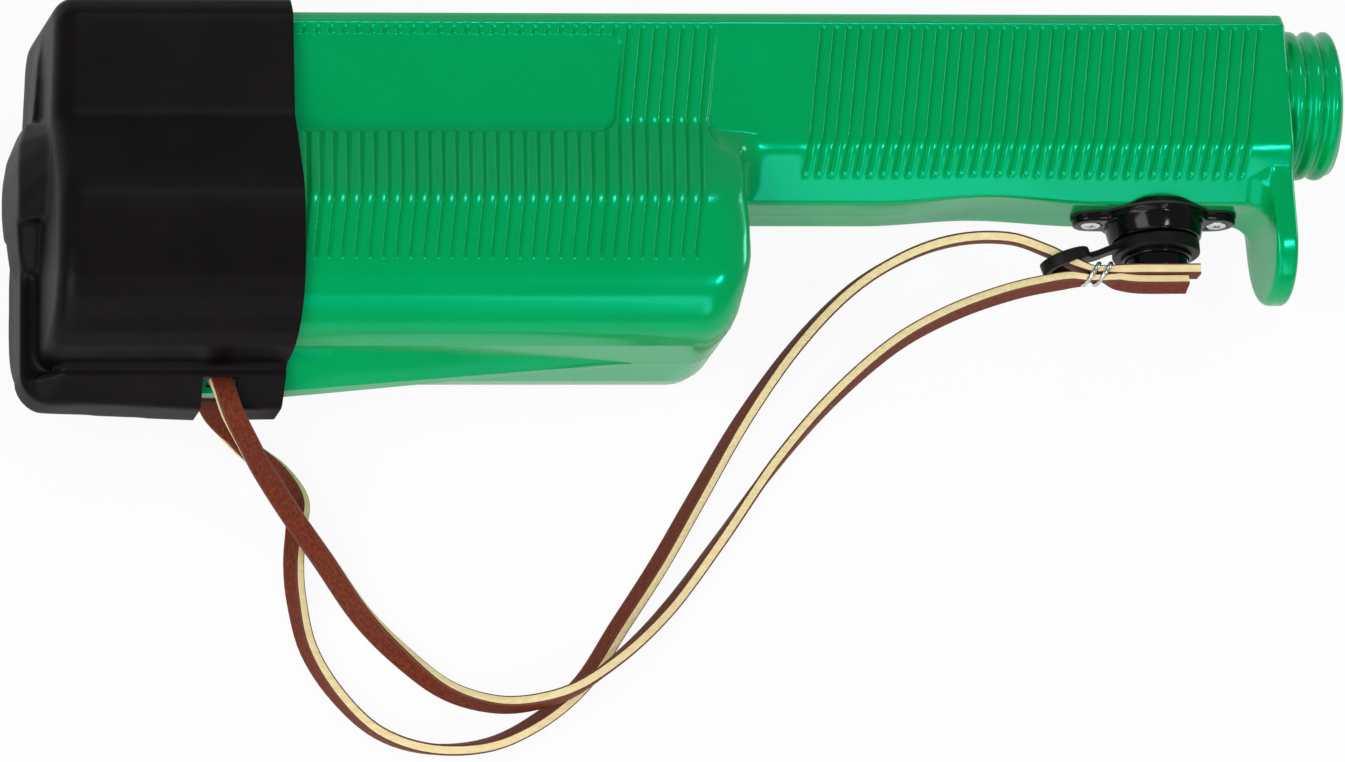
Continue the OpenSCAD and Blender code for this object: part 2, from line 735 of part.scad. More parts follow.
// Wires: from the front contacts to the board, from the switch to the board, from the board to the spigot
lead_y = board_top + lead_r + snug;
module battery_leads() color("#b02020") {
    contact_x = front_plate_x - strip_t - lead_r - snug;
    for (side = [-1, 1])
        lead([
            [contact_x, -cell_depth + strip_h / 2 + lead_r, side * cell_off],
            [contact_x, divider_y, side * cell_off],
            [contact_x - lead_r, board_y, side * cell_off],
            [board_front + post_inset, lead_y + post_inset / 2, side * cell_off],
            [board_front - post_inset, lead_y, side * cell_off],
            [board_front - 2 * post_inset, lead_y, side * cell_off]
        ]);
}
module switch_leads() color("#2a2a2a") {
    top_y = spring_top_y + block_h + lead_r + snug;
    for (side = [-1, 1])
        lead([
            [-switch_back, top_y, side * stem_r],
            [-switch_back - screw_boss_r, top_y + block_h / 2, side * stem_r],
            [-switch_back - screw_pitch, top_y + block_h / 2, side * stem_r],
            [box_front, top_y + block_h / 2, side * stem_r],
            [board_front + post_inset, lead_y + post_inset, side * 2 * stem_r],
            [board_front, lead_y + lead_r, side * 2 * stem_r],
            [board_front - post_inset / 2, lead_y, side * 2 * stem_r]
        ]);
}
module output_leads() color("#c0392b") {
    pin_x = spigot_len - insulator_recess - insulator_t - 4 * snug;
    top_y = -contact_off - lead_r - snug;
    for (side = [-1, 1])
        lead([
            [pin_x, side * contact_off, 0],
            [-end_wall, side * contact_off, 0],
            [-switch_back, side * contact_off, side * contact_r],
            [box_front, top_y, side * contact_off],
            [board_front + post_inset, lead_y + post_inset, side * (board_w / 2 - 2 * post_inset)],
            [board_front - post_inset, lead_y, side * (board_w / 2 - 2 * post_inset)],
            [board_front - 2 * post_inset, lead_y, side * (board_w / 2 - 2 * post_inset)]
        ]);
}

module spigot_insulator() color("#17171a") {
    x = spigot_len - insulator_recess - insulator_t;
    difference() {
        rod_x([x, 0, 0], spigot_bore_r - snug, insulator_t);
        for (side = [-1, 1])
            rod_x([x - over, side * contact_off, 0], contact_pin_r + snug, insulator_t + 2 * over);
    }
}

module output_contacts() color("#c9a24a") {
    face_x = spigot_len - insulator_recess;
    for (side = [-1, 1]) {
        rod_x([face_x, side * contact_off, 0], contact_r, contact_h);
        rod_x([face_x - insulator_t - snug, side * contact_off, 0], contact_pin_r, insulator_t + 2 * snug);
    }
}

// Outline of the switch's flange and gasket: a round boss with two ears
module flange_plate(y, t) {
    translate([-switch_back, y, 0]) rotate([-90, 0, 0]) linear_extrude(t) {
        circle(r = boss_r);
        square([screw_pitch, ear_w], center = true);
        for (side = [-1, 1])
            translate([side * screw_pitch / 2, 0]) circle(r = ear_w / 2);
    }
}
module flange_holes(y) {
    for (side = [-1, 1])
        along_y([-switch_back + side * screw_pitch / 2, y - over, 0], screw_hole_r, screw_hole_r, flange_t + 2 * over);
}

module switch_gasket() color("#2a2a2a") {
    difference() {
        flange_plate(-grip_bottom - gasket_t, gasket_t);
        along_y([-switch_back, -grip_bottom - gasket_t - over, 0], hole_r, hole_r, gasket_t + 2 * over);
        flange_holes(-grip_bottom - gasket_t);
    }
}

module switch_flange() color("#111113") {
    difference() {
        union() {
            flange_plate(flange_y, flange_t);
            along_y([-switch_back, boss_y, 0], boss_end_r, boss_r, boss_h);
            along_y([-switch_back, neck_y, 0], neck_r, neck_r, neck_h);
        }
        along_y([-switch_back, neck_y - over, 0], button_r + fit, button_r + fit, neck_h + boss_h);
        along_y([-switch_back, ledge_y, 0], bore_r, bore_r, boss_h + flange_t + over);
        flange_holes(flange_y);
    }
}

// Insulating block behind the button, with the socket that guides its stem
module switch_block() color("#5a2d1a") {
    difference() {
        along_y([-switch_back, spring_top_y, 0], block_r, block_r, block_h);
        along_y([-switch_back, spring_top_y - over, 0], block_socket_r, block_socket_r, block_socket_h + over);
    }
}

// Coil spring between the button's shoulder and the block, as one helix
module button_spring() color("#b8b8bc") {
    rings = 16 * spring_turns;
    rise = spring_l - 2 * spring_wire_r - 2 * snug;
    route = [for (i = [0 : rings])
        [-switch_back + spring_r * cos(i * 360 * spring_turns / rings),
         shoulder_y + shoulder_t + spring_wire_r + snug + rise * i / rings,
         spring_r * sin(i * 360 * spring_turns / rings)]];
    echo(spring_gap_to_itself = rise / spring_turns - 2 * spring_wire_r);
    sweep([for (i = [0 : rings]) ring_points(route[i], tangent(route, i), [0, 1, 0], round_outline(spring_wire_r, 6))]);
}

module switch_button() color("#0c0c0e") {
    along_y([-switch_back, button_y, 0], button_r, button_r, shoulder_y - button_y);
    along_y([-switch_back, shoulder_y, 0], shoulder_r, shoulder_r, shoulder_t);
    along_y([-switch_back, shoulder_y + shoulder_t, 0], stem_r, stem_r, stem_h);
}

module switch_screws() color("#c8c8cc") {
    for (side = [-1, 1]) {
        x = -switch_back + side * screw_pitch / 2;
        along_y([x, flange_y - screw_head_h, 0], screw_head_r, screw_head_r, screw_head_h);
        along_y([x, flange_y, 0], screw_r, screw_r, screw_len);
    }
}

module strap_keeper() color("#151515") {
    mid_y = boss_y - neck_h / 2;
    difference() {
        union() {
            along_y([-switch_back, mid_y - keeper_h / 2, 0], keeper_r, keeper_r, keeper_h);
            hull() {
                translate(ring_at + [ring_r - tether_t, 0, 0]) rotate([0, 0, ring_tilt])
                    cube([tether_t, tether_t, tether_w], center = true);
                translate([-switch_back - keeper_r + tether_t, mid_y, ring_at[2] / 2])
                    cube([tether_t, tether_t, tether_w], center = true);
            }
            translate(ring_at) rotate([-90, 0, ring_tilt]) cylinder(h = ring_h, r = ring_r, center = true);
        }
        along_y([-switch_back, mid_y - keeper_h, 0], neck_r + snug, neck_r + snug, 2 * keeper_h);
        translate(ring_at) rotate([-90, 0, ring_tilt]) cylinder(h = 2 * ring_h, r = ring_hole_r, center = true);
    }
}

// The lace's middle, straight through the keel's eye
module strap_bight() color("#7a3b28") {
    mouth = near_route[0];
    translate([mouth[0] - lace_w / 2, mouth[1] - lace_t / 2, far_route[0][2]])
        cube([lace_w, lace_t, mouth[2] - far_route[0][2]]);
}
module strap_strand_near() color("#7a3b28") lace(near_route, near_width_shares, [0, 0, 1]);
module strap_strand_far() color("#7a3b28") lace(far_route, far_width_shares, [0, 0, -1]);

// Wire bound twice round both strands, as one helix
module wire_tie() color("#b9bcc0") {
    rings = 24 * tie_turns;
    half_y = 3 * lace_t / 2 + tie_d / 2 + snug;
    half_z = lace_w / 2 + tie_d + snug;
    route = [for (i = [0 : rings])
        tie_at + [tie_pitch * (i / 24 - tie_turns / 2), half_y * cos(i * 15), half_z * sin(i * 15)]];
    echo(tie_gap_to_itself = tie_pitch - tie_d);
    sweep([for (i = [0 : rings]) ring_points(route[i], tangent(route, i), [1, 0, 0], round_outline(tie_d / 2, 6))]);
}

housing();
rear_boot();
rear_plate();
bridge_strip();
battery_cell(1, 0);  // battery_cell_1
battery_cell(1, 1);  // battery_cell_2
battery_cell(1, 2);  // battery_cell_3
battery_cell(-1, 0);  // battery_cell_4
battery_cell(-1, 1);  // battery_cell_5
battery_cell(-1, 2);  // battery_cell_6
bay_divider();
front_contact_plate();
front_contacts();
circuit_board();
transformer_core();
transformer_winding();
storage_capacitor();
power_transistor();
battery_leads();
switch_leads();
output_leads();
spigot_insulator();
output_contacts();
switch_gasket();
switch_flange();
switch_block();
button_spring();
switch_button();
switch_screws();
strap_keeper();
strap_bight();
strap_strand_near();
strap_strand_far();
wire_tie();
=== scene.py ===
import math

import bpy
import numpy as np
from mathutils import Matrix, Vector


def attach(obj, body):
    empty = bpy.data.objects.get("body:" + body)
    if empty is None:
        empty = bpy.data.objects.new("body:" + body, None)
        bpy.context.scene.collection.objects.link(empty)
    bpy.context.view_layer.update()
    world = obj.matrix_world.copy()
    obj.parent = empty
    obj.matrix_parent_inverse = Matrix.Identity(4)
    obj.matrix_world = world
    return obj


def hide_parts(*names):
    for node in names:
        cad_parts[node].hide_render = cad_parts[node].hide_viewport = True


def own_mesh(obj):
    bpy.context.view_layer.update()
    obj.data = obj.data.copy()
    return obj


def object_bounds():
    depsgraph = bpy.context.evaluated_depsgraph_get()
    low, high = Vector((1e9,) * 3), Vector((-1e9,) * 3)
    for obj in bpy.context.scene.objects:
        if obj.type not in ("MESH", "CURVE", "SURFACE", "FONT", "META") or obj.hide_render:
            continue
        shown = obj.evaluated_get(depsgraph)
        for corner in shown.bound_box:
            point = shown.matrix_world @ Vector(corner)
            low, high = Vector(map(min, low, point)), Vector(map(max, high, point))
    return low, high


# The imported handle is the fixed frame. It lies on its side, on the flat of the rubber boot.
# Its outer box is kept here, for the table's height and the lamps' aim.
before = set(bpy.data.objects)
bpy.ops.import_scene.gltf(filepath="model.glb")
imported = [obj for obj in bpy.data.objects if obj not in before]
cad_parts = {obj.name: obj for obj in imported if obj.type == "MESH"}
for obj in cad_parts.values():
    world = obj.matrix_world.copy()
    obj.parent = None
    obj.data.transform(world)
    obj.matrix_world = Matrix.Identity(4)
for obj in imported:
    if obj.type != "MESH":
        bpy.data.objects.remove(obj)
cad_low, cad_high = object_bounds()
bpy.context.scene.view_settings.view_transform = "Standard"
MM = 0.001


# The photographer stands at the boot's end and below the handle's belly, far away with a long lens,
# so that the handle's long edges stay parallel in the picture.
PHOTO_WIDTH = 1345
LENS_DISTANCE = 6.0
MM_PER_PIXEL = 0.23
SENSOR = 36.0
LENS_AT = (-1.56377, -1.86498, 5.52458)
view_right = Vector((0.97156, -0.07328, 0.22516))
view_up = Vector((0, 0.95090, 0.30949))
view_back = view_right.cross(view_up).normalized()
camera_data = bpy.data.cameras.new("photo_camera")
camera_data.sensor_width = SENSOR
camera_data.lens = LENS_DISTANCE / (MM_PER_PIXEL * MM) * SENSOR / PHOTO_WIDTH
camera_data.clip_end = 100.0
camera = bpy.data.objects.new("photo_camera", camera_data)
bpy.context.scene.collection.objects.link(camera)
stand = Matrix((view_right, view_up, view_back)).transposed().to_4x4()
camera.matrix_world = Matrix.Translation(LENS_AT) @ stand
bpy.context.scene.camera = camera


# The table is a white sweep that the boot's flat side rests on. It shows white to the
# lens and in reflections, and still takes the handle's soft shadow.
FLOOR_HALF = 3.0
bpy.ops.mesh.primitive_plane_add(size=2 * FLOOR_HALF, location=(0, 0, cad_low.z))
floor = bpy.context.object
floor.name = "white_table"
bpy.ops.object.transform_apply(location=True)
white_sweep = bpy.data.materials.new("white_sweep")
white_sweep.use_nodes = True
sweep_nodes = white_sweep.node_tree.nodes
sweep_links = white_sweep.node_tree.links
sweep_surface = sweep_nodes["Principled BSDF"]
sweep_surface.inputs["Base Color"].default_value = (0.9, 0.9, 0.9, 1)
sweep_surface.inputs["Roughness"].default_value = 0.9
sweep_glow = sweep_nodes.new("ShaderNodeEmission")
sweep_glow.inputs["Color"].default_value = (1, 1, 1, 1)
sweep_mix = sweep_nodes.new("ShaderNodeMixShader")
ray_kind = sweep_nodes.new("ShaderNodeLightPath")
seen_or_reflected = sweep_nodes.new("ShaderNodeMath")
seen_or_reflected.operation = "MAXIMUM"
for place, ray, share in ((0, "Is Camera Ray", 0.92), (1, "Is Glossy Ray", 0.45)):
    part = sweep_nodes.new("ShaderNodeMath")
    part.operation = "MULTIPLY"
    part.inputs[1].default_value = share
    sweep_links.new(ray_kind.outputs[ray], part.inputs[0])
    sweep_links.new(part.outputs[0], seen_or_reflected.inputs[place])
sweep_links.new(seen_or_reflected.outputs[0], sweep_mix.inputs["Fac"])
sweep_links.new(sweep_surface.outputs["BSDF"], sweep_mix.inputs[1])
sweep_links.new(sweep_glow.outputs["Emission"], sweep_mix.inputs[2])
sweep_links.new(sweep_mix.outputs["Shader"], sweep_nodes["Material Output"].inputs["Surface"])
floor.data.materials.append(white_sweep)


# Studio light: a dim white room, a key box at the boot's side and a soft box below the belly. Narrow lamps
# shine in the grip's chamfer and along its crease, one behind the back catches the box's crease, and a
# low one shines in the box's front rounding.
room = bpy.data.worlds.new("white_room")
room.use_nodes = True
room_nodes = room.node_tree.nodes
room_links = room.node_tree.links
room_light = room_nodes["Background"]
room_light.inputs["Color"].default_value = (1, 1, 1, 1)
room_light.inputs["Strength"].default_value = 0.34
room_backdrop = room_nodes.new("ShaderNodeBackground")
room_backdrop.inputs["Color"].default_value = (1, 1, 1, 1)
room_mix = room_nodes.new("ShaderNodeMixShader")
room_ray = room_nodes.new("ShaderNodeLightPath")
room_links.new(room_ray.outputs["Is Camera Ray"], room_mix.inputs["Fac"])
room_links.new(room_light.outputs["Background"], room_mix.inputs[1])
room_links.new(room_backdrop.outputs["Background"], room_mix.inputs[2])
room_links.new(room_mix.outputs["Shader"], room_nodes["World Output"].inputs["Surface"])
bpy.context.scene.world = room
subject = (cad_low + cad_high) / 2
for name, toward, away, width, height, power in (
    ("key_box", (-0.6, -0.2, 0.72), 1.6, 0.8, 0.8, 10),
    ("belly_box", (-0.35, -0.8, 0.5), 1.6, 1.2, 1.2, 7),
    ("chamfer_lamp", (0.289, -0.8, 0.525), 1.588, 0.17, 0.9, 1.8),
    ("crease_lamp", (0.397, -0.21, 0.894), 0.838, 0.16, 0.07, 1),
    ("back_box", (0.24, 0.62, 0.75), 2, 0.3, 0.3, 4),
    ("front_box", (0.95, 0.25, 0.07), 1.6, 0.35, 0.3, 2.6),
):
    lamp_data = bpy.data.lights.new(name, "AREA")
    lamp_data.shape = "RECTANGLE"
    lamp_data.size = width
    lamp_data.size_y = height
    lamp_data.energy = power
    lamp = bpy.data.objects.new(name, lamp_data)
    bpy.context.scene.collection.objects.link(lamp)
    lamp.location = subject + Vector(toward).normalized() * away
    lamp.rotation_mode = "QUATERNION"
    lamp.rotation_quaternion = (subject - lamp.location).to_track_quat("-Z", "Y")


# Wrist lace: one flat strip of bridle leather, cut with a strap knife, so its broad faces keep the
# dyed brown grain and its edges show the pale inside. Its middle goes through the keel's eye and its
# two strands lie along the table and rise to the switch, where a wire binds them.
LACE_WIDTH = 5.0
LACE_THICK = 2.6
LACE_EDGE_ROUND = 0.45
LACE_SUBSTEPS = 6
near_route = [
    (-255.6, -67.5, -10, None), (-255.6, -67.5, -2, None), (-255.6, -67.7, 4, None),
    (-255.8, -69.6, 8, None), (-255.3, -73, 9.8, 250), (-254, -77.5, 9.5, 256), (-250, -82, 4, 264),
    (-244, -86, -7, 269), (-236, -93, -17, 270), (-227, -102, -25, 272), (-218, -114, -29, 280),
    (-209, -124, -29, 298), (-199, -132, -29, 318), (-188, -136, -27, 332), (-178, -136, -24, 342),
    (-169, -133, -22, 354), (-157, -124, -24, 368), (-145, -112, -28, 376), (-132, -96, -29, 370),
    (-118, -78, -29, 356), (-104, -63, -27, 348), (-90, -52, -20, 342), (-78, -47, -11, 337),
    (-66, -45, -1, 335), (-56, -45, 7, 333), (-52.5, -45.3, 9.6, 338), (-50, -45.5, 10.7, 356),
    (-46.5, -45.6, 11, 356), (-43.5, -46.3, 11, 332), (-38, -47, 11, 328), (-27, -47, 11, 328),
]
far_route = [
    (-255.6, -67.5, -10, None), (-252.5, -70, -15, None), (-247.5, -72.5, -21, 255), (-241.5, -76, -26, 265),
    (-235, -80, -29, 285), (-231, -86.5, -29, 303), (-231.8, -93, -29, 312), (-233, -101, -29, 318),
    (-233, -110, -29, 322), (-231, -122, -29, 330), (-225, -133, -29, 338), (-216, -142, -29, 348),
    (-204, -146, -29, 358), (-190, -145, -29, 372), (-177.5, -139, -29, 384), (-166.8, -130, -29, 390),
    (-157.6, -117, -29, 395), (-147, -102, -29, 396), (-136.8, -86, -29, 392), (-124.5, -67, -28, 382),
    (-112, -51, -23, 371), (-100, -40, -15, 364), (-88, -34, -8, 358), (-77, -32, -2, 355),
    (-66, -33, 2, 354), (-58, -37, 5, 352), (-54, -40, 7, 349), (-49, -43.7, 11, 350),
    (-46, -43.8, 11, 350), (-38, -43.9, 11, 344), (-24, -43.9, 11, 344),
]
# Where the wire binds the strands, how far along they are nipped and by what share of their thickness
wire_centre = np.array((-48, -44.65, 11))
NIP_REACH, NIP_SHARE = 4, 0.34
# The side the lace is looked at from, which its edges face where a turn is 0 or 360 degrees
LACE_FRONT = (-0.24, -0.3, 0.92)
EYE_BREADTH = (1, 0, 0)


def smooth_line(points, substeps):
    """A smooth line through the points, with substeps steps between each two."""
    p = np.array(points, float)
    ends = np.vstack([2 * p[0] - p[1], p, 2 * p[-1] - p[-2]])
    line = []
    for i in range(1, len(ends) - 2):
        a, b, c, d = ends[i - 1], ends[i], ends[i + 1], ends[i + 2]
        for k in range(substeps):
            t = k / substeps
            curve = (2 * a - 5 * b + 4 * c - d) * t**2 + (3 * b - a - 3 * c + d) * t**3
            line.append(0.5 * (2 * b + (c - a) * t + curve))
    line.append(p[-1])
    return np.array(line)


def lengths_along(line):
    """Lengths along a line of points, from its start to every point."""
    return np.concatenate([[0], np.cumsum(np.linalg.norm(np.diff(line, axis=0), axis=1))])


def turned_breadth(route):
    """The way the strip's breadth points at shares of the route's length, from the turn at every point."""
    points = np.array([p[:3] for p in route], float)
    along = lengths_along(points)
    run = np.gradient(points, axis=0)
    keys = []
    for place, way, (_, _, _, turn) in zip(along / along[-1], run, route):
        if turn is None:
            keys.append((place, EYE_BREADTH))
            continue
        way = way / np.linalg.norm(way)
        front = np.array(LACE_FRONT) - np.dot(LACE_FRONT, way) * way
        front /= np.linalg.norm(front)
        angle = math.radians(turn)
        keys.append((place, tuple(math.cos(angle) * front + math.sin(angle) * np.cross(way, front))))
    return keys


def strip_outline(width, thick, round_by):
    """Outline of a flat strip: broad faces, edges and four eased corners."""
    w, t = width / 2, thick / 2
    corner = [(0, 1), (0.5, 0.866), (0.866, 0.5), (1, 0)]
    bend = [(w - round_by + round_by * x, t - round_by + round_by * y) for x, y in corner]
    outline = [(0, t), (w * 0.45, t)] + bend + [(w, 0)]
    outline += [(x, -y) for x, y in reversed(bend)] + [(w * 0.45, -t)]
    outline += [(0, -t)] + [(-x, y) for x, y in reversed(outline[1:])]
    return outline


def band_faces(count, size, closed=False):
    """Faces between each ring of points and the next, and from the last to the first if closed."""
    return [
        (i * size + j, i * size + k, (i + 1) % count * size + k, (i + 1) % count * size + j)
        for i in range(count if closed else count - 1)
        for j, k in zip(range(size), [*range(1, size), 0])
    ]


def new_piece(name, points, faces):
    """A new object with a mesh through points given in millimetres."""
    mesh = bpy.data.meshes.new(name)
    mesh.from_pydata((np.asarray(points) * MM).tolist(), [], faces)
    piece = bpy.data.objects.new(name, mesh)
    bpy.context.scene.collection.objects.link(piece)
    return piece


def sweep_strip(name, line, breadth, outline, thickness=1.0):
    """A closed strip swept along a line, turned as the breadth keys say, with a length-and-round UV map.

    The share of its full thickness may change along the line.
    """
    along = lengths_along(line)
    shares = along / along[-1]
    key_shares = [k for k, _ in breadth]
    keys = np.array([v for _, v in breadth], float)
    across = np.stack([np.interp(shares, key_shares, keys[:, j]) for j in range(3)], 1)
    run = np.gradient(line, axis=0)
    run /= np.linalg.norm(run, axis=1)[:, None]
    across -= (across * run).sum(1)[:, None] * run
    across /= np.linalg.norm(across, axis=1)[:, None]
    up = np.cross(run, across) * np.broadcast_to(thickness, len(line))[:, None]
    ring = np.array(outline)
    points = line[:, None] + ring[None, :, :1] * across[:, None] + ring[None, :, 1:] * up[:, None]
    count, size = len(line), len(ring)
    ends = [tuple(range(size - 1, -1, -1)), tuple(range((count - 1) * size, count * size))]
    piece = new_piece(name, points.reshape(-1, 3), band_faces(count, size) + ends)
    uv = piece.data.uv_layers.new(name="along_and_round")
    for loop in piece.data.loops:
        i, j = divmod(loop.vertex_index, size)
        uv.data[loop.index].uv = (along[i] * MM, ring[j][0] * MM)
    return piece


def select_only(piece):
    """Makes this the one selected and active object."""
    bpy.ops.object.select_all(action="DESELECT")
    bpy.context.view_layer.objects.active = piece
    piece.select_set(True)


def tidy_normals(piece):
    """Merges doubled points and turns every face outwards."""
    select_only(piece)
    bpy.ops.object.mode_set(mode="EDIT")
    bpy.ops.mesh.select_all(action="SELECT")
    bpy.ops.mesh.remove_doubles(threshold=1e-6)
    bpy.ops.mesh.normals_make_consistent(inside=False)
    bpy.ops.object.mode_set(mode="OBJECT")


def new_finish(name, base, roughness, specular=0.5, metallic=0.0):
    """A new material with its constants on the shader's own sockets."""
    finish = bpy.data.materials.new(name)
    finish.use_nodes = True
    sockets = finish.node_tree.nodes["Principled BSDF"].inputs
    sockets["Base Color"].default_value = (*base, 1)
    sockets["Roughness"].default_value = roughness
    sockets["Specular IOR Level"].default_value = specular
    sockets["Metallic"].default_value = metallic
    return finish


def noise_on(finish, scale, detail, stretch, coordinates):
    """A noise pattern of that scale in a material, on the piece's own coordinates."""
    nodes, links = finish.node_tree.nodes, finish.node_tree.links
    where = nodes.new("ShaderNodeTexCoord")
    turn = nodes.new("ShaderNodeMapping")
    turn.inputs["Scale"].default_value = stretch
    noise = nodes.new("ShaderNodeTexNoise")
    noise.inputs["Scale"].default_value = scale
    noise.inputs["Detail"].default_value = detail
    links.new(where.outputs[coordinates], turn.inputs["Vector"])
    links.new(turn.outputs["Vector"], noise.inputs["Vector"])
    return noise.outputs["Fac"]


def mottle(finish, low, high, scale, detail=3.0, stretch=(1, 1, 1), coordinates="Object"):
    """Lets the base colour drift between two tones in a noise pattern of that scale."""
    nodes, links = finish.node_tree.nodes, finish.node_tree.links
    tones = nodes.new("ShaderNodeValToRGB")
    for end, place, tone in ((0, 0.3, low), (1, 0.7, high)):
        tones.color_ramp.elements[end].position = place
        tones.color_ramp.elements[end].color = (*tone, 1)
    links.new(noise_on(finish, scale, detail, stretch, coordinates), tones.inputs["Fac"])
    links.new(tones.outputs["Color"], nodes["Principled BSDF"].inputs["Base Color"])


def grain_bump(finish, scale, strength, distance, stretch=(1, 1, 1), coordinates="Object", detail=4.0):
    """Adds a fine noise relief to the surface."""
    nodes, links = finish.node_tree.nodes, finish.node_tree.links
    relief = nodes.new("ShaderNodeBump")
    relief.inputs["Strength"].default_value = strength
    relief.inputs["Distance"].default_value = distance
    links.new(noise_on(finish, scale, detail, stretch, coordinates), relief.inputs["Height"])
    links.new(relief.outputs["Normal"], nodes["Principled BSDF"].inputs["Normal"])


brown_grain = new_finish("brown_grain", (0.155, 0.028, 0.011), 0.55, specular=0.12)
mottle(brown_grain, (0.1, 0.016, 0.006), (0.21, 0.042, 0.018), 1600, 6, (0.5, 1, 1), "UV")
grain_bump(brown_grain, 2600, 0.35, 0.0002, (0.5, 1, 1), "UV")
pale_edge = new_finish("pale_cut_edge", (0.87, 0.72, 0.39), 0.75, specular=0.2)
mottle(pale_edge, (0.81, 0.65, 0.32), (0.93, 0.79, 0.46), 1200, 5, (0.25, 1, 1))
grain_bump(pale_edge, 3000, 0.3, 0.0002)
dark_arris = new_finish("burnt_corner", (0.14, 0.027, 0.013), 0.6)
grain_bump(dark_arris, 2600, 0.2, 0.0002)

lace_outline = strip_outline(LACE_WIDTH, LACE_THICK, LACE_EDGE_ROUND)
lace_sides = len(lace_outline)
BROAD, CUT, ARRIS = 0, 1, 2
for name, route, stands_for in (
    ("lace_near_strand", near_route, ("strap_strand_near", "strap_bight")),
    ("lace_far_strand", far_route, ("strap_strand_far",)),
):
    line = smooth_line([p[:3] for p in route], LACE_SUBSTEPS)
    near_wire = np.exp(-(((line - wire_centre) / NIP_REACH) ** 2).sum(1))
    strand = sweep_strip(name, line, turned_breadth(route), lace_outline, 1 - NIP_SHARE * near_wire)
    for finish in (brown_grain, pale_edge, dark_arris):
        strand.data.materials.append(finish)
    for number, face in enumerate(strand.data.polygons):
        x0, y0 = lace_outline[number % lace_sides]
        x1, y1 = lace_outline[(number + 1) % lace_sides]
        on_end = number >= lace_sides * (len(line) - 1)
        on_edge = abs(x0) + abs(x1) > LACE_WIDTH - 1e-6
        on_broad = abs(y0) + abs(y1) > LACE_THICK - 1e-6
        face.material_index = CUT if on_end or on_edge else BROAD if on_broad else ARRIS
    tidy_normals(strand)
    bpy.ops.object.shade_smooth_by_angle(angle=math.radians(40))
    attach(strand, "handle")
    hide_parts(*stands_for)


# Binding wire: bright galvanised wire, wound tight by hand round both strands, so that two loops lie across
# their near side and the cut ends behind them.
WIRE_DIAMETER, WIRE_SIDES = 1.15, 10
WIRE_TURNS, WIRE_PITCH, WIRE_LEAN = 1.5, 2.8, 0.5
wire_half_y = (1 - NIP_SHARE) * 1.02 * LACE_THICK + WIRE_DIAMETER / 2
wire_half_z = LACE_WIDTH / 2 + 0.55 * WIRE_DIAMETER


def circle(radius, sides):
    """Outline of a round wire."""
    angles = [2 * math.pi * k / sides for k in range(sides)]
    return [(radius * math.cos(a), radius * math.sin(a)) for a in angles]


def dress_piece(piece, finish, smooth_angle):
    """Closes a piece, smooths its shading up to an angle in degrees and gives it its one finish."""
    tidy_normals(piece)
    bpy.ops.object.shade_smooth_by_angle(angle=math.radians(smooth_angle))
    piece.data.materials.clear()
    piece.data.materials.append(finish)


turns = np.linspace(-0.2, WIRE_TURNS + 0.15, 64)
turn_angles = turns * 2 * math.pi
wire_line = wire_centre + np.column_stack(
    [
        WIRE_PITCH * (turns - WIRE_TURNS / 2) - WIRE_LEAN * wire_half_y * np.cos(turn_angles),
        -wire_half_y * np.cos(turn_angles),
        wire_half_z * np.sin(turn_angles),
    ]
)
wire = sweep_strip("binding_wire", wire_line, [(0, (1, 0, 0))], circle(WIRE_DIAMETER / 2, WIRE_SIDES))
bright_wire = new_finish("galvanised_wire", (0.62, 0.64, 0.66), 0.22, metallic=1)
mottle(bright_wire, (0.5, 0.52, 0.55), (0.75, 0.77, 0.78), 900)
dress_piece(wire, bright_wire, 50)
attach(wire, "handle")
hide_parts("wire_tie")


# Housing: one hollow green moulding in glossy ABS, ribbed battery box behind and ribbed grip in front,
# drawn together by filleted shoulders. The finger guard hangs from its front face and a coarse left-hand
# thread takes the shaft. A flat bare panel is let into the box's near side.
RIB_SLANT = 0.1727
WALL = 1.8
BOX_REAR, BOX_FACE, GUARD_FACE = -285.95, -132.9, -5.5
TOP, GRIP_SIDE, GRIP_UNDER = 17.2, 17, -26.9
BOX_SIDE, BOX_UNDER, BELLY_EDGE = 28.45, -62.7, 13.1
CORNER_Y, CORNER_ROUND = -47.5, 15.2
GUARD_MIDDLE, GUARD_ROUND, FRONT_ROUND = -34, 14, 1.2
BOX_RIB_FOOT, GRIP_RIB_FOOT = -47, -22.3
PANEL_Z, PANEL_ROUND, PANEL_FRONT, PANEL_MIDDLE, PANEL_HALF = 16.6, 4.2, -159.4, -0.7, 12.1
HOLLOW_DEPTH, HOLLOW_AT, HOLLOW_REACH, HOLLOW_SPREAD = 1.9, -72, 26, 0.09
# One groove, as places along the handle and depths, and the middles of the grip's and the box's grooves
groove_flank = [(-1.1, 0), (-0.62, 0.14), (-0.3, 0.54), (0, 0.76)]
groove_profile = groove_flank + [(-place, depth) for place, depth in groove_flank[-2::-1]]
grip_grooves = [-8.45 - 3.056 * i for i in range(35)]
box_grooves = [-139.1 - 3.19 * i for i in range(33)]


def between(start, end, count):
    """Points from start, left out, to end."""
    start, way = np.array(start), np.array(end) - np.array(start)
    return [tuple(start + way * k / count) for k in range(1, count + 1)]


def eased(before, corner, after, reach, count):
    """The two ends and the points of a soft bend that takes the corner off."""
    before, corner, after = (np.array(p, float) for p in (before, corner, after))
    a = corner + reach * (before - corner) / np.linalg.norm(before - corner)
    b = corner + reach * (after - corner) / np.linalg.norm(after - corner)
    steps = [k / count for k in range(1, count + 1)]
    return a, b, [tuple((1 - t) ** 2 * a + 2 * t * (1 - t) * corner + t**2 * b) for t in steps]


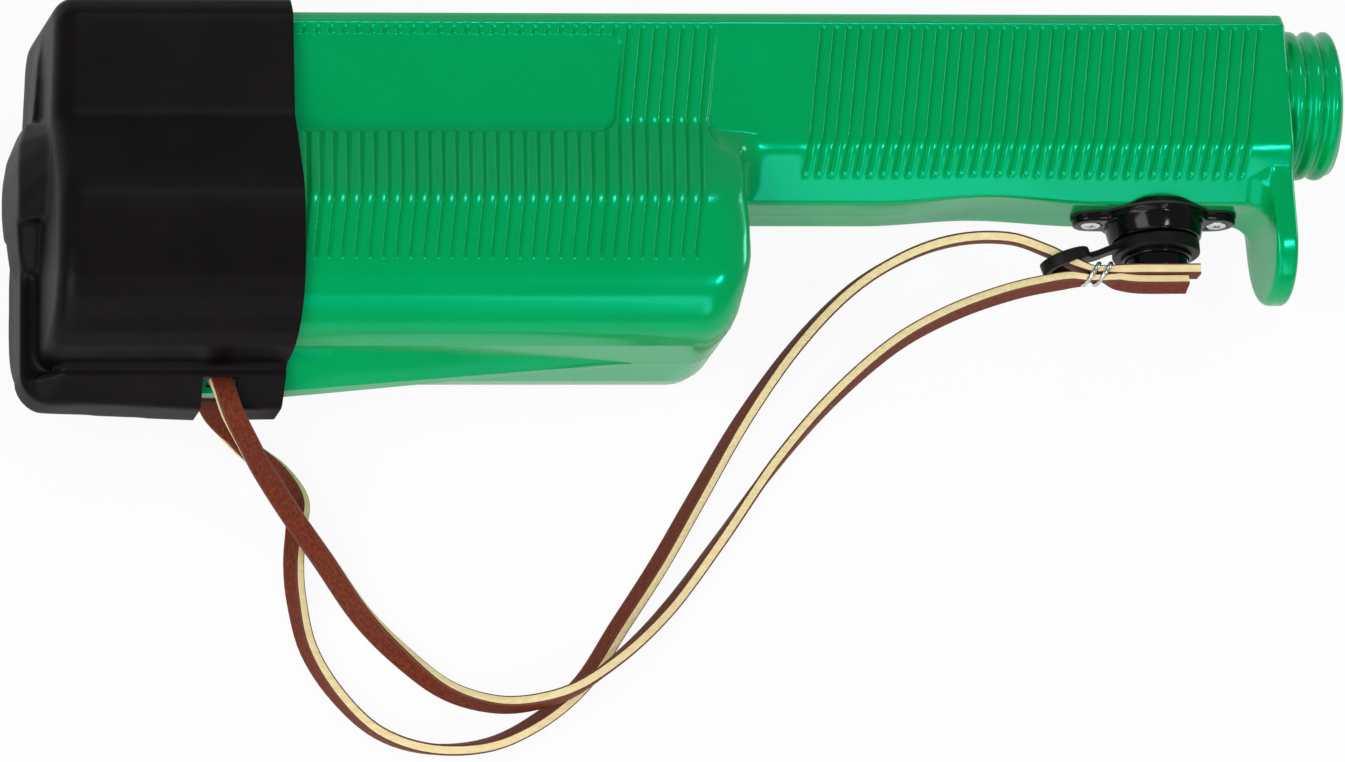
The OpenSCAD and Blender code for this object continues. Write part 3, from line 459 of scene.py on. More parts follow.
def round_points(centre, radius, first, last, count):
    """Points of an arc in Y and Z, in degrees from +Y towards +Z, with the first left out."""
    angles = [math.radians(first + (last - first) * k / count) for k in range(1, count + 1)]
    return [(centre[0] + radius * math.cos(a), centre[1] + radius * math.sin(a)) for a in angles]


def quarter(steps):
    """Angles of a quarter turn, from none to the whole of it."""
    return [math.pi / 2 * k / steps for k in range(steps + 1)]


def on_line(start, end, levels):
    """Points on the straight line through two points, at levels of Y."""
    rise = (end[1] - start[1]) / (end[0] - start[0])
    return [(y, start[1] + (y - start[0]) * rise) for y in levels]


# Half sections from the top's middle round the near side to the underside's middle, as (Y, Z)
top_edge, upper_crease, lower_crease = (14.2, GRIP_SIDE), (-10.5, 18), (-31.5, BOX_SIDE)
grip_crease, grip_edge = (-16, GRIP_SIDE), (GRIP_UNDER, 8.5)
top_band = between((TOP, 0), (TOP, 14), 4) + [(17.18, 14.5), (17, 14.95), (15.9, 15.76)]
top_band += [(14.75, 16.61), (14.45, 16.85), top_edge]
side_from = len(top_band)
side_levels = [13.8, 13.4, 13, 12.5, 12, 11.7, 11.55, 11.3, 11, 10.3, 9.4, 8.4]
side_levels += [5, 2, -1, -4, -6.5]
ledge_levels = [-12.35, -12.6, -12.85, -13.1, -13.6, -17, -20, -23.5, -27]
flat_levels = [-36, -40, -43.5, -44.4, -45, -45.6, -46.2, -46.8, -47.3]
bend_in, _, bend = eased(top_edge, upper_crease, lower_crease, 1.9, 4)
turn_in, _, turn = eased(upper_crease, lower_crease, (CORNER_Y, BOX_SIDE), 3.2, 5)
box_half = [(TOP, 0)] + top_band + on_line(top_edge, upper_crease, side_levels) + [tuple(bend_in)] + bend
box_half += on_line(upper_crease, lower_crease, ledge_levels) + [tuple(turn_in)] + turn
box_half += [(y, BOX_SIDE) for y in flat_levels]
box_half += round_points((CORNER_Y, BOX_SIDE - CORNER_ROUND), CORNER_ROUND, 90, 160, 10) + [(-62.24, 15.75)]
box_half += [(BOX_UNDER, z) for z in (BELLY_EDGE, 9, 4, 0.4)] + [(-62.78, 0)]
knee_in, knee_out, knee = eased(top_edge, grip_crease, grip_edge, 3, 5)
heel_in, _, heel = eased(grip_crease, grip_edge, (GRIP_UNDER, 0), 1.1, 7)
rib_ends = on_line(grip_crease, grip_edge, [-19.3, *np.linspace(-19.8, GRIP_RIB_FOOT, 6)])
grip_half = [(TOP, 0)] + top_band + [(y, GRIP_SIDE) for y in [*side_levels, bend_in[0]]]
grip_half += between(grip_half[-1], knee_in, 14) + knee + between(knee_out, rib_ends[0], 3) + rib_ends[1:]
grip_half += between(rib_ends[-1], heel_in, 5) + heel
grip_half += [(GRIP_UNDER, z) for z in (5, 2.5, 0.4)] + [(-26.98, 0)]
box_half, grip_half = np.array(box_half), np.array(grip_half)
guard_rim = between((-19.85, GUARD_ROUND), (GUARD_MIDDLE, GUARD_ROUND), 6)
guard_rim += round_points((GUARD_MIDDLE, 0), GUARD_ROUND, 90, 180, 16)
guard_from = len(grip_half) - len(guard_rim)
guard_half = grip_half.copy()
guard_half[guard_from:] = guard_rim
count_half = len(box_half)
on_side = np.arange(count_half) >= side_from


def outward(half):
    """Outward normals of a half section."""
    whole = np.vstack([half[1] * (1, -1), half, half[-2] * (1, -1)])
    run = whole[2:] - whole[:-2]
    normal = np.stack([run[:, 1], -run[:, 0]], 1)
    normal /= np.linalg.norm(normal, axis=1)[:, None]
    inside = (-15, 0)
    return normal * np.sign((normal * (half - inside)).sum(1))[:, None]


def step_path(length, face, first, second):
    """Ways gone and X places over a step: a bend, a slightly leaning face and a second bend."""
    lean, first_run, second_run = 0.3, max(first, 0.45), max(second, 0.4)
    path = [(first * (1 - math.cos(a)), face - first_run * (1 - math.sin(a))) for a in quarter(8)]
    for share in (0.25, 0.5, 0.75):
        path.append((first + (length - first - second) * share, face + lean * share))
    for a in quarter(6):
        path.append((length - second * (1 - math.sin(a)), face + lean + second_run * (1 - math.cos(a))))
    return path


def soft_step(x):
    """From 0 to 1, with soft ends."""
    x = np.clip(x, 0, 1)
    return x * x * (3 - 2 * x)


def step_stations(start_half, end_half, face_at, fillet, edge, first_reach=None):
    """Rings that lead from one half section to another over a filleted step."""
    paths = []
    for j, (start, end) in enumerate(zip(start_half, end_half)):
        length = float(np.linalg.norm(end - start))
        way = (end - start) / max(length, 1e-6)
        first, second = min(fillet, 0.6 * length), min(edge, 0.35 * length)
        if first_reach is not None:
            first = min(first, face_at[j] - first_reach[j])
        path = step_path(length, face_at[j], first, second)
        paths.append([(x, *(start + way * gone)) for gone, x in path])
    return list(np.array(paths).transpose(1, 0, 2))


def slanted(half, x, foot):
    """X of every point of a ring that leans with the ribs, from their foot to the top's edge."""
    return x + RIB_SLANT * np.clip(half[:, 0], foot, top_edge[0])


def plain_ring(half, x):
    """A half section at one X, or at an X for every point."""
    return np.column_stack([np.broadcast_to(x, count_half), half])


def blend_rings(first, last, count):
    """Rings between two rings, both left out."""
    return [first + (last - first) * k / (count + 1) for k in range(1, count + 1)]


def groove_rings(half, centres, foot):
    """Rings over a row of grooves, from the rear, and the groove's depth at every point."""
    y = half[:, 0]
    share = soft_step((13.7 - y) / 0.8) * soft_step((y - foot - 0.3) / 1.3) * on_side
    return [
        (plain_ring(half, slanted(half, centre + place, foot)), depth * share)
        for centre in reversed(centres)
        for place, depth in groove_profile
    ]


# The outside as rings from the rear to the guard's front, each with how far its grooves are sunk in
box_out, grip_out, guard_out = outward(box_half), outward(grip_half), outward(guard_half)
outer = [(plain_ring(box_half, BOX_REAR), 0), (plain_ring(box_half, BOX_REAR + 12), 0)]
box_ribs = groove_rings(box_half, box_grooves, BOX_RIB_FOOT)
# Two more rings go between each two round the panel's front end
for number in range(len(box_ribs) - 1, 0, -1):
    (ring_a, depth_a), (ring_b, depth_b) = box_ribs[number - 1], box_ribs[number]
    if abs(ring_a[:, 0].mean() + 4.6 - PANEL_FRONT) < 3.0:
        steps = [(ring_a + (ring_b - ring_a) * t, depth_a + (depth_b - depth_a) * t) for t in (0.33, 0.67)]
        box_ribs[number:number] = steps
outer += [(ring, 0) for ring in blend_rings(outer[-1][0], box_ribs[0][0], 2)]
outer += [(ring, box_out * depth[:, None]) for ring, depth in box_ribs]
# The box's front face leans with the ribs above and stands upright below, with its lower corner drawn back
share_down = soft_step((upper_crease[0] - box_half[:, 0]) / (upper_crease[0] - lower_crease[0]))
lean_edge = slanted(box_half, -138.1, BOX_RIB_FOOT)
box_face = (lean_edge + 0.5) * (1 - share_down) + BOX_FACE * share_down
box_face = box_face - 1.8 * soft_step((-50.0 - box_half[:, 0]) / 12)
shoulder = step_stations(box_half, grip_half, box_face, fillet=10, edge=6, first_reach=lean_edge)
grip_ribs = groove_rings(grip_half, grip_grooves, GRIP_RIB_FOOT)
outer += [(ring, 0) for ring in shoulder + blend_rings(shoulder[-1], grip_ribs[0][0], 4)]
outer += [(ring, grip_out * depth[:, None]) for ring, depth in grip_ribs]
# The guard's rear face goes further back below the grip
guard_share = soft_step((-8.0 - grip_half[:, 0]) / 11)
guard_face = -3.4 * (1 - guard_share) + GUARD_FACE * guard_share
guard_step = step_stations(grip_half, guard_half, guard_face, fillet=5.5, edge=1.7)
outer += [(ring, 0) for ring in guard_step]
for a in quarter(5):
    ring = plain_ring(guard_half, -FRONT_ROUND * (1 - math.sin(a)))
    outer.append((ring, guard_out * FRONT_ROUND * (1 - math.cos(a))))


def hollow_under(ring, edge_share):
    """Lifts the grip's underside into the shallow hollow for the fingers, less so at its edge."""
    lift = HOLLOW_DEPTH * soft_step(1 - np.abs(ring[:, 0] - HOLLOW_AT) / HOLLOW_REACH)
    count = count_half - guard_from
    weight = np.zeros(count_half)
    inwards = np.clip(np.arange(1, count + 1) * 2 / count, 0, 1)
    weight[guard_from:] = inwards * np.linspace(edge_share, 1, count)
    lifted = ring.copy()
    lifted[:, 1] += lift * weight
    lifted[:, 2] *= 1 + HOLLOW_SPREAD * lift * weight
    return lifted


def panel_share(x, y):
    """1 inside the bare panel's rounded outline, 0 outside, with a narrow soft border."""
    dx = x - RIB_SLANT * y - PANEL_FRONT + PANEL_ROUND
    dy = np.abs(y - PANEL_MIDDLE) - PANEL_HALF + PANEL_ROUND
    beyond = np.hypot(np.maximum(dx, 0), np.maximum(dy, 0))
    distance = beyond + np.minimum(np.maximum(dx, dy), 0) - PANEL_ROUND
    return 1 - soft_step((distance + 0.2) / 0.4)


def loft(name, rings, capped=True):
    """A closed solid through rings given in millimetres, with ends or run back to its start."""
    size, count = len(rings[0]), len(rings)
    faces = band_faces(count, size, closed=not capped)
    if capped:
        faces += [tuple(range(size)), tuple(range((count - 1) * size, count * size))]
    solid = new_piece(name, np.vstack(rings), faces)
    tidy_normals(solid)
    return solid


# Both sides of the outside, with the panel let into the near one and the grip hollowed for the fingers
PANEL_ZONE = -144.9
near_rings, far_rings = [], []
for ring, sunk in outer:
    near, far = ring.copy(), ring.copy()
    far[:, 1:] -= sunk
    on_box = (ring[:, 0] < PANEL_ZONE) & on_side
    share = np.where(on_box, panel_share(ring[:, 0], ring[:, 1]), 0)
    near[:, 1:] -= sunk * (1 - share)[:, None]
    near[:, 2] += (PANEL_Z - near[:, 2]) * share
    near_rings.append(hollow_under(near, 0.15))
    far_rings.append(hollow_under(far, 0.9) * (1, 1, -1))
# The inside, from the rear opening to the front wall, as places and shares of the grip's section
inner_box, inner_grip = box_half - box_out * WALL, grip_half - grip_out * WALL
inner_places = [(BOX_REAR, 0), (-200, 0), (-141, 0), (-138.6, 0.08), (-136.6, 0.22), (-135.6, 0.4)]
for x, share in inner_places + [(-135.4, 1), (-120, 1), (-3, 1)]:
    ring = plain_ring(inner_box * (1 - share) + inner_grip * share, x)
    near_rings.insert(0, ring)
    far_rings.insert(0, ring * (1, 1, -1))
loops = [np.vstack([near, far[-2:0:-1]]) for near, far in zip(near_rings, far_rings)]
housing = loft("green_housing", loops)


def combine(piece, tool, way):
    """Changes the piece by a solid, and clears the solid away."""
    select_only(piece)
    bpy.ops.object.modifier_add(type="BOOLEAN")
    change = piece.modifiers[-1]
    change.operation = way
    change.solver = "MANIFOLD"
    change.object = tool
    bpy.ops.object.modifier_apply(modifier=change.name)
    bpy.data.objects.remove(tool)


def fuse(piece, tool):
    """Joins a solid to the piece."""
    combine(piece, tool, "UNION")


def cut(piece, tool):
    """Cuts a solid out of the piece."""
    combine(piece, tool, "DIFFERENCE")


def rod(at, radius, depth, axis, sides=64):
    """A cylinder from a point along +X or +Y, in millimetres."""
    turn = (0, math.pi / 2, 0) if axis == "X" else (-math.pi / 2, 0, 0)
    middle = Vector(at) + Vector((depth / 2, 0, 0) if axis == "X" else (0, depth / 2, 0))
    bpy.ops.mesh.primitive_cylinder_add(
        vertices=sides, radius=radius * MM, depth=depth * MM, location=middle * MM, rotation=turn
    )
    bpy.ops.object.transform_apply(location=True, rotation=True)
    return bpy.context.object


def block(low, high):
    """A box between two corners, in millimetres."""
    low, high = Vector(low) * MM, Vector(high) * MM
    bpy.ops.mesh.primitive_cube_add(size=1, location=(low + high) / 2)
    made = bpy.context.object
    made.scale = high - low
    bpy.ops.object.transform_apply(location=True, scale=True)
    return made


# The threaded spigot, as rings from inside the front face to its mouth, round from the near side to the top
THREAD_PITCH, THREAD_DEPTH, THREAD_AT, THREAD_POWER = 4.24, 1.15, 7, 1.6
SPIGOT_RADIUS, SPIGOT_END, SPIGOT_ROUND = 17.2, 12.9, 0.9
around = 2 * math.pi * np.arange(96) / 96
mouth = [SPIGOT_END - back for back in (0.8, 0.6, 0.4, 0.25, 0.12, 0.04, 0)]
spigot_rings = []
for x in [-2.5, *np.arange(-0.5, SPIGOT_END - SPIGOT_ROUND, 0.35), *mouth]:
    phase = (x - THREAD_AT) / THREAD_PITCH - around / (2 * math.pi)
    valley = (0.5 - 0.5 * np.cos(2 * math.pi * phase)) ** THREAD_POWER
    edge = min(max(0, x - (SPIGOT_END - SPIGOT_ROUND)) / SPIGOT_ROUND, 1)
    radius = SPIGOT_RADIUS - THREAD_DEPTH * valley - SPIGOT_ROUND * (1 - math.sqrt(1 - edge**2))
    ring = (np.full(len(around), x), radius * np.sin(around), radius * np.cos(around))
    spigot_rings.append(np.column_stack(ring))
fuse(housing, loft("spigot", spigot_rings))


def whole_ring(half, x):
    """A closed ring at X from a half section."""
    points = np.vstack([half, half[-2:0:-1] * (1, -1)])
    return np.column_stack([np.broadcast_to(x, len(points)), points])


# The keel, a wedge with sloping flanks and a narrow flat foot that rises out of the underside towards the
# lace's eye, narrower where the boot covers it: place, depth and half width at its root
KEEL_FOOT = 0.22
keel_sizes = (
    (-157, 0.06, 0.6), (-165.8, 0.8, 2.9), (-177.6, 1.84, 4.6), (-201.3, 3.96, 7.4), (-229.7, 6.5, 10.1),
    (-241.5, 7.5, 10.8), (-246, 7.66, 7.1), (-262, 7.66, 7.1),
)
keel_rings = []
for x, deep, wide in keel_sizes:
    keel_half = [(-61.4, 0), (-61.4, wide)]
    for drop, half_width in ((0, 1), (0.42, 0.72), (0.74, 0.46), (1, KEEL_FOOT), (1, 0)):
        keel_half.append((BOX_UNDER - drop * deep, half_width * wide))
    keel_rings.append(whole_ring(np.array(keel_half), x))
fuse(housing, loft("keel", keel_rings))
lace_eye = block((-258.2, -69.25, -30), (-251.8, -65.65, 30))
cut(housing, lace_eye)

# Screw bosses inside, then the holes for the switch, its screws and the shaft's contacts
SWITCH_X, SCREW_OFF = -30.7, 15.0
SWITCH_BORE, SCREW_BORE, SCREW_BOSS = 9.6, 1.6, 3.8
INSULATOR_BORE, LEAD_BORE = 12.6, 10.0
screw_places = (SWITCH_X - SCREW_OFF, SWITCH_X + SCREW_OFF)
for x in screw_places:
    fuse(housing, rod((x, -26, 0), SCREW_BOSS, 6.1, "Y"))
cut(housing, rod((SWITCH_X, -30, 0), SWITCH_BORE, 12, "Y"))
for x in screw_places:
    cut(housing, rod((x, -30, 0), SCREW_BORE, 12, "Y", 24))
cut(housing, rod((3.05, 0, 0), INSULATOR_BORE, 12, "X"))
cut(housing, rod((-5, 0, 0), LEAD_BORE, 12, "X"))
green_gloss = new_finish("green_gloss", (0, 0.345, 0.078), 0.2, specular=1)
green_sockets = green_gloss.node_tree.nodes["Principled BSDF"].inputs
green_sockets["Specular Tint"].default_value = (0, 1, 0.8, 1)
green_sockets["Coat Weight"].default_value = 0.05
green_sockets["Coat Roughness"].default_value = 0.06
mottle(green_gloss, (0, 0.335, 0.074), (0, 0.355, 0.082), 60, 4)
grain_bump(green_gloss, 240, 0.05, 0.0004, detail=2)
dress_piece(housing, green_gloss, 42)

# The underside's edges and the keel's root and foot stay crisp
keel_x, keel_deep, keel_wide = np.array(keel_sizes[::-1]).T
NEAR_LINE = 0.02


def on_crisp_line(end):
    """True for a point on one of these edges."""
    deep, wide = np.interp(end.x, keel_x, keel_deep), np.interp(end.x, keel_x, keel_wide)
    below, side = BOX_UNDER - end.y, abs(end.z)
    if abs(below) < NEAR_LINE:
        return min(abs(side - BELLY_EDGE), abs(side - wide)) < NEAR_LINE
    return deep > 0.1 and abs(below - deep) < NEAR_LINE and abs(side - KEEL_FOOT * wide) < NEAR_LINE


for edge in housing.data.edges:
    ends = [housing.data.vertices[number].co / MM for number in edge.vertices]
    edge.use_edge_sharp |= all(on_crisp_line(end) for end in ends)
bpy.ops.object.modifier_add(type="WEIGHTED_NORMAL")
housing.modifiers[-1].keep_sharp = True
housing.modifiers[-1].weight = 50
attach(housing, "handle")
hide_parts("housing")


# Rubber boot: one black rubber moulding, pulled by hand over the box's open end, where it holds by its own
# stretch. A fin runs down its back and along its underside, where it is slotted for the lace, and a wide
# pull boss stands on its back for the thumb.
BOOT_WALL, BOOT_GAP, BOOT_ROUND = 3, 0.3, 4.6
BOOT_BACK, BOOT_MOUTH, PAST_MOUTH = -294.3, -225, -220.0
LEAN_AT, UPPER_LEAN, LOWER_LEAN = -17, 0.11, 0.075
LEAN_FROM, LEAN_REACH = -278, 14.0
FIN_BACK, FIN_FOOT, FIN_ROUND, FIN_HALF = -301.6, -66.8, 7, 4.0
RIM_AT_AXIS, RIM_SLANT = -236.5, 3.6
VOXEL = 0.65


def hull(name, points):
    """The solid stretched over points given in millimetres."""
    solid = new_piece(name, points, [])
    select_only(solid)
    bpy.ops.object.mode_set(mode="EDIT")
    bpy.ops.mesh.select_all(action="SELECT")
    bpy.ops.mesh.convex_hull()
    bpy.ops.object.mode_set(mode="OBJECT")
    tidy_normals(solid)
    return solid


def mirrored(points):
    """The points and their mirror images on the far side."""
    return [p for q in points for p in (q, (q[0], q[1], -q[2]))]


def join(pieces):
    """Joins pieces into the first of them."""
    select_only(pieces[0])
    for piece in pieces[1:]:
        piece.select_set(True)
    bpy.ops.object.join()


def boot_section(grow):
    """The box's half section with fewer points, grown by that much, and its outward normals."""
    kept = [0, 2, 4, 6, 8, 10, 16, 19, 25, 27, 29, 31, 36, 40, 42, 45, *range(48, count_half, 2)]
    half = (box_half + box_out * grow)[kept]
    half[[0, -1], 1] = 0.0
    return half, box_out[kept]


boot_half, boot_out = boot_section(BOOT_GAP + BOOT_WALL)
back_rings = []
for a in quarter(8):
    tucked = boot_half - boot_out * BOOT_ROUND * (1 - math.sin(a))
    back_rings.append(whole_ring(tucked, BOOT_BACK + BOOT_ROUND * (1 - math.cos(a))))
back_rings += [whole_ring(boot_half, x) for x in (-280, -265, -250, BOOT_MOUTH)]
for ring in back_rings:
    lean_share = np.clip((LEAN_FROM - ring[:, 0]) / LEAN_REACH, 0, 1)
    rise = ring[:, 1] - LEAN_AT
    ring[:, 0] += np.where(rise > 0, UPPER_LEAN, LOWER_LEAN) * rise * lean_share
boot = loft("rubber_boot", back_rings)
fin_spine = [(-284, 18.5), (-288.4, 19.3), (-290.5, 16), (-292.3, 9), (-294.2, -3.5)]
fin_spine += [(-296.9, -16), (-299.6, -38)]
for a in quarter(6):
    fin_spine.append((FIN_BACK + FIN_ROUND * (1 - math.cos(a)), FIN_FOOT - FIN_ROUND * math.sin(a)))
fin_spine.append((-284, FIN_FOOT - FIN_ROUND))
fin_sides = [np.array([(x, y, z) for x, y in fin_spine]) for z in (-FIN_HALF, FIN_HALF)]
cover_edge = ((-60, 14.8), (-66.2, 10.6), (-72, 5.4))
keel_cover = [(x, y, z) for x in (-293, BOOT_MOUTH) for y, z in cover_edge]
keel_bar = [
    (-293, -66, 8), (-293, -68.2, 9.9), (-293, -73.4, 4.6), (-259, -75.2, 4.6),
    (BOOT_MOUTH, -74.6, 4.6), (BOOT_MOUTH, -66, 8), (BOOT_MOUTH, -68.2, 9.9),
    (-299.6, -68.4, 6), (-299.2, -71.5, 4.4), (-297, -73.2, 4.4),
]
boss_points = [
    (-296.3, -6.2, 4.5), (-298.9, -12.2, 8), (-300, -18, 9.5), (-300.4, -25, 10),
    (-300.6, -31, 8.5), (-290, -7, 6), (-290, -13.7, 23.5), (-290, -20, 25),
    (-290, -31, 25), (-290, -34, 22),
]
heel_points = [
    (-300.6, -28, 7.5), (-300.4, -37.5, 6), (-299.8, -42, 5), (-290, -28, 14),
    (-290, -44.5, 10.5),
]
additions = [
    hull("keel_cover", mirrored(keel_cover)),
    hull("keel_bar", mirrored(keel_bar)),
    loft("fin_back", fin_sides),
    hull("pull_boss", mirrored(boss_points)),
    hull("pull_heel", mirrored(heel_points)),
]
join([boot, *additions])
boot.data.remesh_voxel_size = VOXEL * MM
bpy.ops.object.voxel_remesh()
bpy.ops.object.mode_set(mode="EDIT")
bpy.ops.mesh.select_all(action="SELECT")
bpy.ops.mesh.vertices_smooth(factor=0.5, repeat=8)
bpy.ops.object.mode_set(mode="OBJECT")
hollow_half, _ = boot_section(BOOT_GAP)
hollow_rings = [whole_ring(hollow_half, x) for x in (BOOT_BACK + BOOT_WALL, PAST_MOUTH)]
hollow_rings[0][:, 0] += UPPER_LEAN * np.maximum(0, hollow_rings[0][:, 1] - LEAN_AT)
cut(boot, loft("boot_hollow", hollow_rings))
hollow_edge = ((-60, 13.3), (-69.3, 7.4), (-71.2, 4))
fin_hollow = [(x, y, z) for x in (BOOT_BACK + BOOT_WALL, PAST_MOUTH) for y, z in hollow_edge]
cut(boot, hull("fin_hollow", mirrored(fin_hollow)))
lace_slot = block((-260.2, -90, -40), (-252, -68.9, 40))
cut(boot, lace_slot)
rim_cut = block((0, -120, -60), (60, 60, 60))
rim_cut.rotation_euler = (0, 0, -math.radians(RIM_SLANT))
rim_cut.location = Vector((RIM_AT_AXIS, 0, 0)) * MM
cut(boot, rim_cut)
black_rubber = new_finish("black_rubber", (0.003, 0.0018, 0.0026), 0.42, specular=0.11)
mottle(black_rubber, (0.0022, 0.0013, 0.0019), (0.0042, 0.0028, 0.0036), 70, 5)
grain_bump(black_rubber, 420, 0.12, 0.0003)
dress_piece(boot, black_rubber, 40)
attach(boot, "boot")
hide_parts("rear_boot")


# Push switch: a body moulded in glossy black nylon with two ears, held to the grip's underside by two screws
# over a thin rubber gasket. A round black button slides in its neck against a coil spring.
EAR_HALF, BOSS_RADIUS, EAR_BLEND = 4.4, 11.5, 6.5
HEAD_RADIUS, HEAD_SEAT, HEAD_TOP = 2.45, -28.55, -29.5
GASKET_TOP, FLANGE_TOP, GASKET_GROWTH = -26.9, -27.5, 0.25
NECK_BORE, SHOULDER_BORE, HEAD_GAP = 7.55, 8.8, 0.15
switch_axis = (SWITCH_X, 0, 0)


def lathe(name, profile, at, sides, open_bore=False):
    """A solid turned about the Y axis from a profile of (radius, Y), in millimetres."""
    angles = 2 * math.pi * np.arange(sides) / sides
    turned = [(r * np.cos(angles), np.full(sides, y), r * np.sin(angles)) for r, y in profile]
    rings = [np.column_stack(ring) + at for ring in turned]
    return loft(name, rings, capped=not open_bore)


def softened(profile, reach, steps=4):
    """A profile with every corner that has a reach taken off softly."""
    points = []
    neighbours = zip([profile[0]] + profile[:-1], profile[1:] + [profile[-1]])
    for corner, off, (before, after) in zip(profile, reach, neighbours):
        if off == 0:
            points.append(corner)
            continue
        start, _, bend_points = eased(before, corner, after, off, steps)
        points += [tuple(start)] + bend_points
    return points


def ear_outline(grow):
    """Plan of the switch's flange, seen along Y: a round boss that flows into two ears."""
    half = []
    ear_end = SCREW_OFF + EAR_HALF * np.sin(np.linspace(0, math.pi / 2, 9))
    for x in [*np.linspace(0, SCREW_OFF - 1, 29), *ear_end]:
        past_screw = max(x - SCREW_OFF, 0)
        ear = math.sqrt(max(EAR_HALF**2 - past_screw**2, 0))
        disc = math.sqrt(max(BOSS_RADIUS**2 - x**2, 0))
        near = max(EAR_BLEND - abs(ear - disc), 0) / EAR_BLEND
        half.append((x, max(ear, disc) + (near**2 * EAR_BLEND / 4 if x < SCREW_OFF else 0)))
    plan = np.array(half)
    ring = np.vstack([plan, plan[-2::-1] * (1, -1), plan[1:] * (-1, -1), plan[-2:0:-1] * (-1, 1)])
    run = np.roll(ring, -1, axis=0) - np.roll(ring, 1, axis=0)
    normal = np.stack([run[:, 1], -run[:, 0]], 1) / np.linalg.norm(run, axis=1)[:, None]
    normal *= np.sign((normal * ring).sum(1).mean())
    return ring + normal * grow


def ear_plate(name, levels):
    """A plate of that plan through levels of (Y, growth)."""
    rings = []
    for y, grow in levels:
        plan = ear_outline(grow)
        rings.append(np.column_stack([plan[:, 0] + SWITCH_X, np.full(len(plan), y), plan[:, 1]]))
    return loft(name, rings)


flange_levels = [(-27.65, 0), (-28.7, 0), (-29.05, -0.12), (-29.25, -0.4), (-29.3, -0.7)]
flange = ear_plate("switch_body", [(FLANGE_TOP, -0.15)] + flange_levels)
boss_profile = [
    (0.01, -28), (11.58, -28), (BOSS_RADIUS, -29.4), (10.6, -33.3), (8.1, -33.3), (8.1, -37.9),
    (0.01, -37.9),
]
collar_profile = [(0.01, -28.2), (11.7, -28.2), (BOSS_RADIUS, -26.6), (10.6, -25.2), (0.01, -25.2)]
for name, profile, reach in (
    ("switch_boss", boss_profile, [0, 0, 0, 0.8, 0.4, 0.4, 0]),
    ("switch_collar", collar_profile, [0, 0, 0.9, 0.7, 0]),
):
    fuse(flange, lathe(name, softened(profile, reach), switch_axis, 96))
cut(flange, rod((SWITCH_X, -40, 0), NECK_BORE, 20, "Y"))
cut(flange, rod((SWITCH_X, -33, 0), SHOULDER_BORE, 12, "Y"))
# The collar is shaped to the grip that it sits on
fitted = housing.copy()
fitted.data = housing.data.copy()
bpy.context.scene.collection.objects.link(fitted)
cut(flange, fitted)
for x in screw_places:
    cut(flange, rod((x, -32, 0), SCREW_BORE, 8, "Y", 32))
    cut(flange, rod((x, -32, 0), HEAD_RADIUS + HEAD_GAP, 32 + HEAD_SEAT, "Y", 40))
gasket = ear_plate("switch_gasket_sheet", [(GASKET_TOP, GASKET_GROWTH), (FLANGE_TOP, GASKET_GROWTH)])
cut(gasket, rod((SWITCH_X, -30, 0), SWITCH_BORE, 8, "Y"))
for x in screw_places:
    cut(gasket, rod((x, -32, 0), SCREW_BORE, 8, "Y", 32))
button_profile = [
    (0.01, -41.1), (5.2, -41.3), (7.25, -41.3), (7.25, -32.85), (8.5, -32.85), (8.5, -31.65), (2.5, -31.65),
    (2.5, -27.05), (0.01, -27.05),
]
button_reach = [0, 0.6, 0.9, 0, 0.2, 0.2, 0, 0.3, 0]
button = lathe("push_button", softened(button_profile, button_reach), switch_axis, 80)
black_nylon = new_finish("black_nylon", (0.002, 0.002, 0.002), 0.13, specular=0.2)
mottle(black_nylon, (0.0015, 0.0015, 0.0018), (0.003, 0.003, 0.0034), 180)
grain_bump(black_nylon, 700, 0.05, 0.0002)
seal_rubber = new_finish("seal_rubber", (0.01, 0.01, 0.01), 0.6)
mottle(seal_rubber, (0.008, 0.008, 0.008), (0.014, 0.014, 0.014), 300)
for piece, finish, body, node, slot in (
    (flange, black_nylon, "handle", "switch_flange", "switch_plastic"),
    (gasket, seal_rubber, "handle", "switch_gasket", "keeper_rubber"),
    (button, black_nylon, "button", "switch_button", "switch_plastic"),
):
    dress_piece(piece, finish, 35)
    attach(piece, body)
    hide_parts(node)


# Return spring of the switch: round steel wire, wound cold into an open coil. It stands between the contact
# block and the button's shoulder.
COIL_RADIUS, COIL_WIRE, COIL_FOOT, COIL_HEAD = 5.4, 0.3, -31.2, -28.7
spring_turn = np.linspace(0, 2.5, 81) * 2 * math.pi
spring_line = np.column_stack(
    [
        SWITCH_X + COIL_RADIUS * np.cos(spring_turn),
        np.linspace(COIL_FOOT, COIL_HEAD, 81),
        COIL_RADIUS * np.sin(spring_turn),
    ]
)
spring = sweep_strip("return_spring", spring_line, [(0, (0, 1, 0))], circle(COIL_WIRE, 8))
dress_piece(spring, bright_wire, 50)
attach(spring, "handle")
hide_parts("button_spring")
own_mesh(spring)


